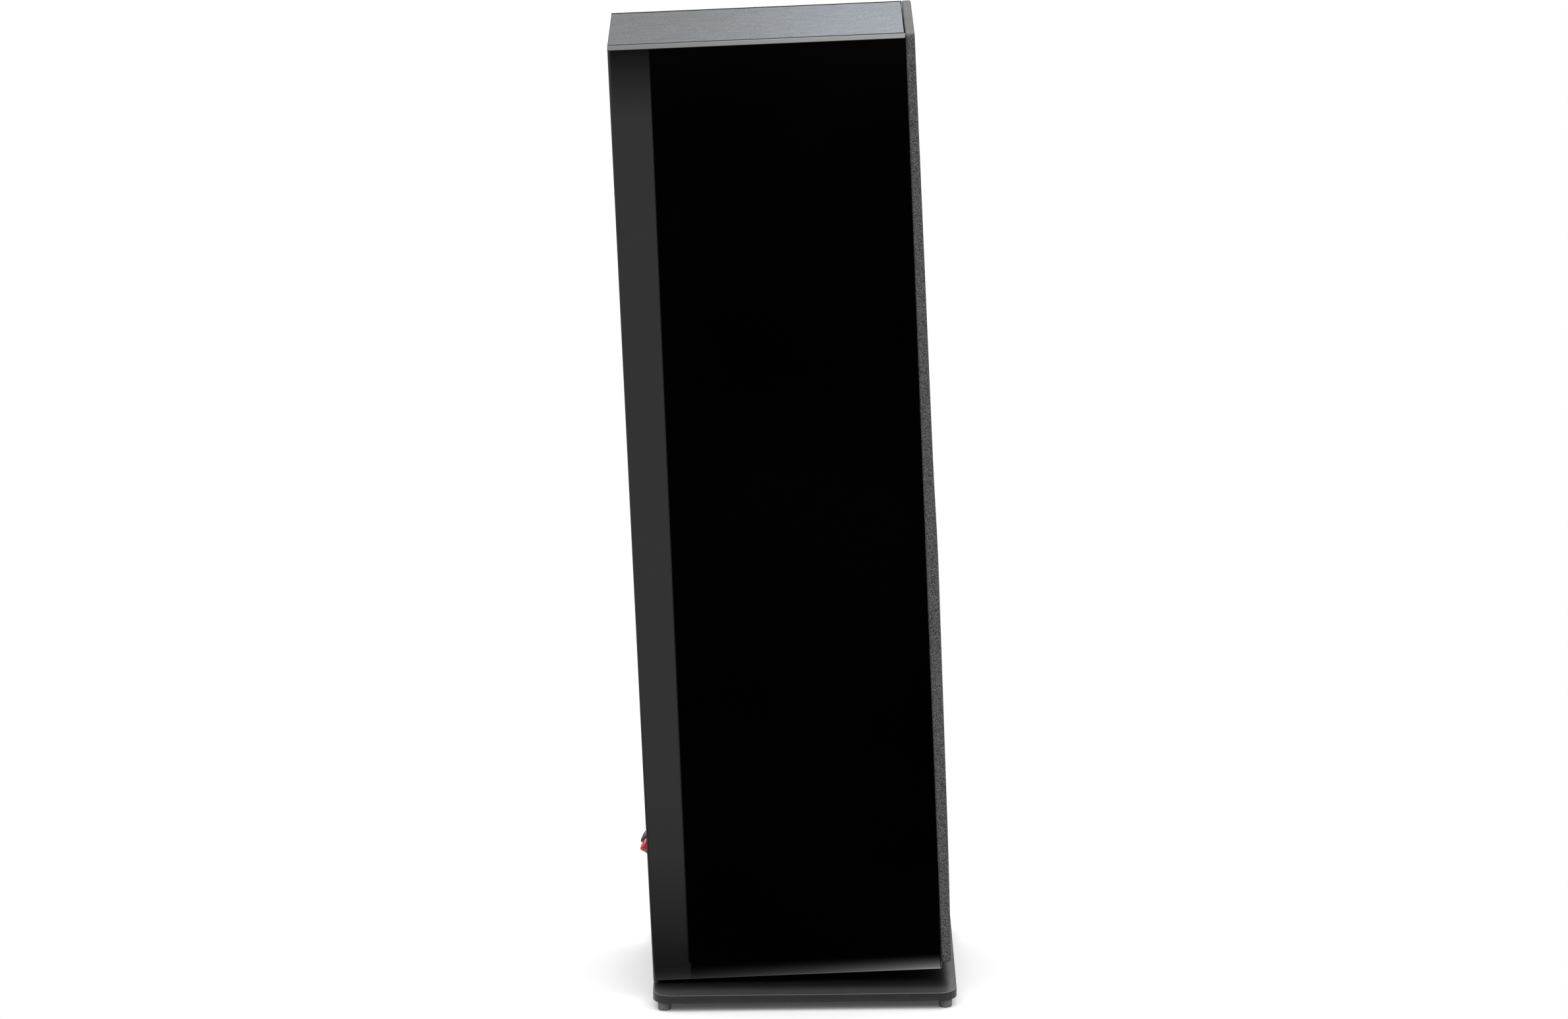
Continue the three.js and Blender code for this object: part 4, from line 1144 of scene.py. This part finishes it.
def glow(side, name, share):
    """Seen from above only, so that nothing under it catches it."""
    made = stage_finish(name)
    forward = made.math("SUBTRACT", bottom_rear.y, made.along("Y"))
    forward = made.math("DIVIDE", forward, bottom_rear.y - bottom_front.y)
    start = made.math("MULTIPLY_ADD", forward, run_front - run_rear, run_rear)
    inward = made.math("DIVIDE", made.math("SUBTRACT", away(made, side), start), GLOW_REACH)
    left_over = made.math("SUBTRACT", 1.0, made.math("MAXIMUM", inward, 0.0))
    shape = made.math("POWER", made.math("MAXIMUM", left_over, 0.0), GLOW_POWER)
    curve = made.math("MULTIPLY_ADD", forward, GLOW_RISE[1], GLOW_RISE[0])
    gain = made.math("POWER", e, made.math("MULTIPLY", forward, curve))
    strength = made.math("MULTIPLY", made.math("MULTIPLY", shape, gain), GLOW_REAR * share)
    pale = made.fade(made.along("Y"), BAND_EDGE - BAND_SOFTNESS, BAND_EDGE + BAND_SOFTNESS, 0.0, BAND_FOOT)
    made.link(made.math("ADD", strength, pale), "Emission Strength")
    made.link(made.math("SUBTRACT", 1.0, made.node("NewGeometry", {})["Backfacing"]), "Alpha")
    xs = (panel_half, panel_half + run_front + GLOW_REACH, panel_half + run_rear + GLOW_REACH, panel_half)
    ys = (bottom_front.y, bottom_front.y, bottom_rear.y, bottom_rear.y)
    stage_mesh(name, [(side * x, y, plinth_top + GLOW_HEIGHT) for x, y in zip(xs, ys)][::side])


card(-1, "card_left", 0.0243, 4.8, 14.0)
card(1, "card_right", 1.0, 0.4, 6.0)
glow(-1, "glow_left", 1.0)
glow(1, "glow_right", 0.4)

# A soft card overhead, seen only in the chamfers beside the top.
made = stage_finish("overhead")
made.link(made.fade(made.along("Y"), 0.25, -0.25, 5.8, 9.2), "Emission Strength")
stage_mesh("overhead", [(-1.5, -1.2, 2.0), (1.0, -1.2, 2.0), (1.0, 1.2, 2.0), (-1.5, 1.2, 2.0)])

# The studio: white to the camera, and to every other ray a sky that brightens with height.
world = bpy.data.worlds.new("studio")
scene.world = world
world.use_nodes = True
world.node_tree.nodes.clear()
sky = Tree(world, "Generated")
brightness = sky.fade(sky.along("Z"), *SKY_RISE, SKY_LOW, SKY_HIGH)
studio = sky.node("Background", {"Color": WHITE, "Strength": brightness})["Background"]
backdrop = sky.node("Background", {"Color": WHITE})["Background"]
seen = sky.node("LightPath", {})["Is Camera Ray"]
shown = sky.node("MixShader", {0: seen, 1: studio, 2: backdrop})["Shader"]
sky.node("OutputWorld", {"Surface": shown})
LIGHT_AIM = Vector((0, 0, 0.4))


def soft_light(name, location, size, power):
    light = bpy.data.lights.new(name, "AREA")
    light.shape = "RECTANGLE"
    light.size, light.size_y = size
    light.energy = power
    lamp = new_object(name, light)
    lamp.location = location
    lamp.rotation_mode = "QUATERNION"
    lamp.rotation_quaternion = (LIGHT_AIM - Vector(location)).to_track_quat("-Z", "Y")
    lamp.visible_camera = False
    lamp.visible_glossy = False


soft_light("key", (-1.6, -2.6, 2.6), (1.6, 1.6), 40)
soft_light("fill", (1.8, 2.2, 2.2), (1.8, 1.8), 14)

CAMERA_PLACE = (-7.0508, -0.0003, 2.2389)
CAMERA_TURNS = ((-89.995, "Z"), (76.252, "X"), (-0.634, "Z"))  # degrees: yaw, tilt and roll
CAMERA_LENS = 156.02
lens = bpy.data.cameras.new("camera")
lens.lens = CAMERA_LENS
lens.sensor_width = 36
lens.clip_end = 200
camera = new_object("camera", lens)
place = Matrix.Translation(CAMERA_PLACE)
for angle, axis in CAMERA_TURNS:
    place = place @ Matrix.Rotation(radians(angle), 4, axis)
camera.matrix_world = place
scene.camera = camera
scene.view_settings.view_transform = "Standard"
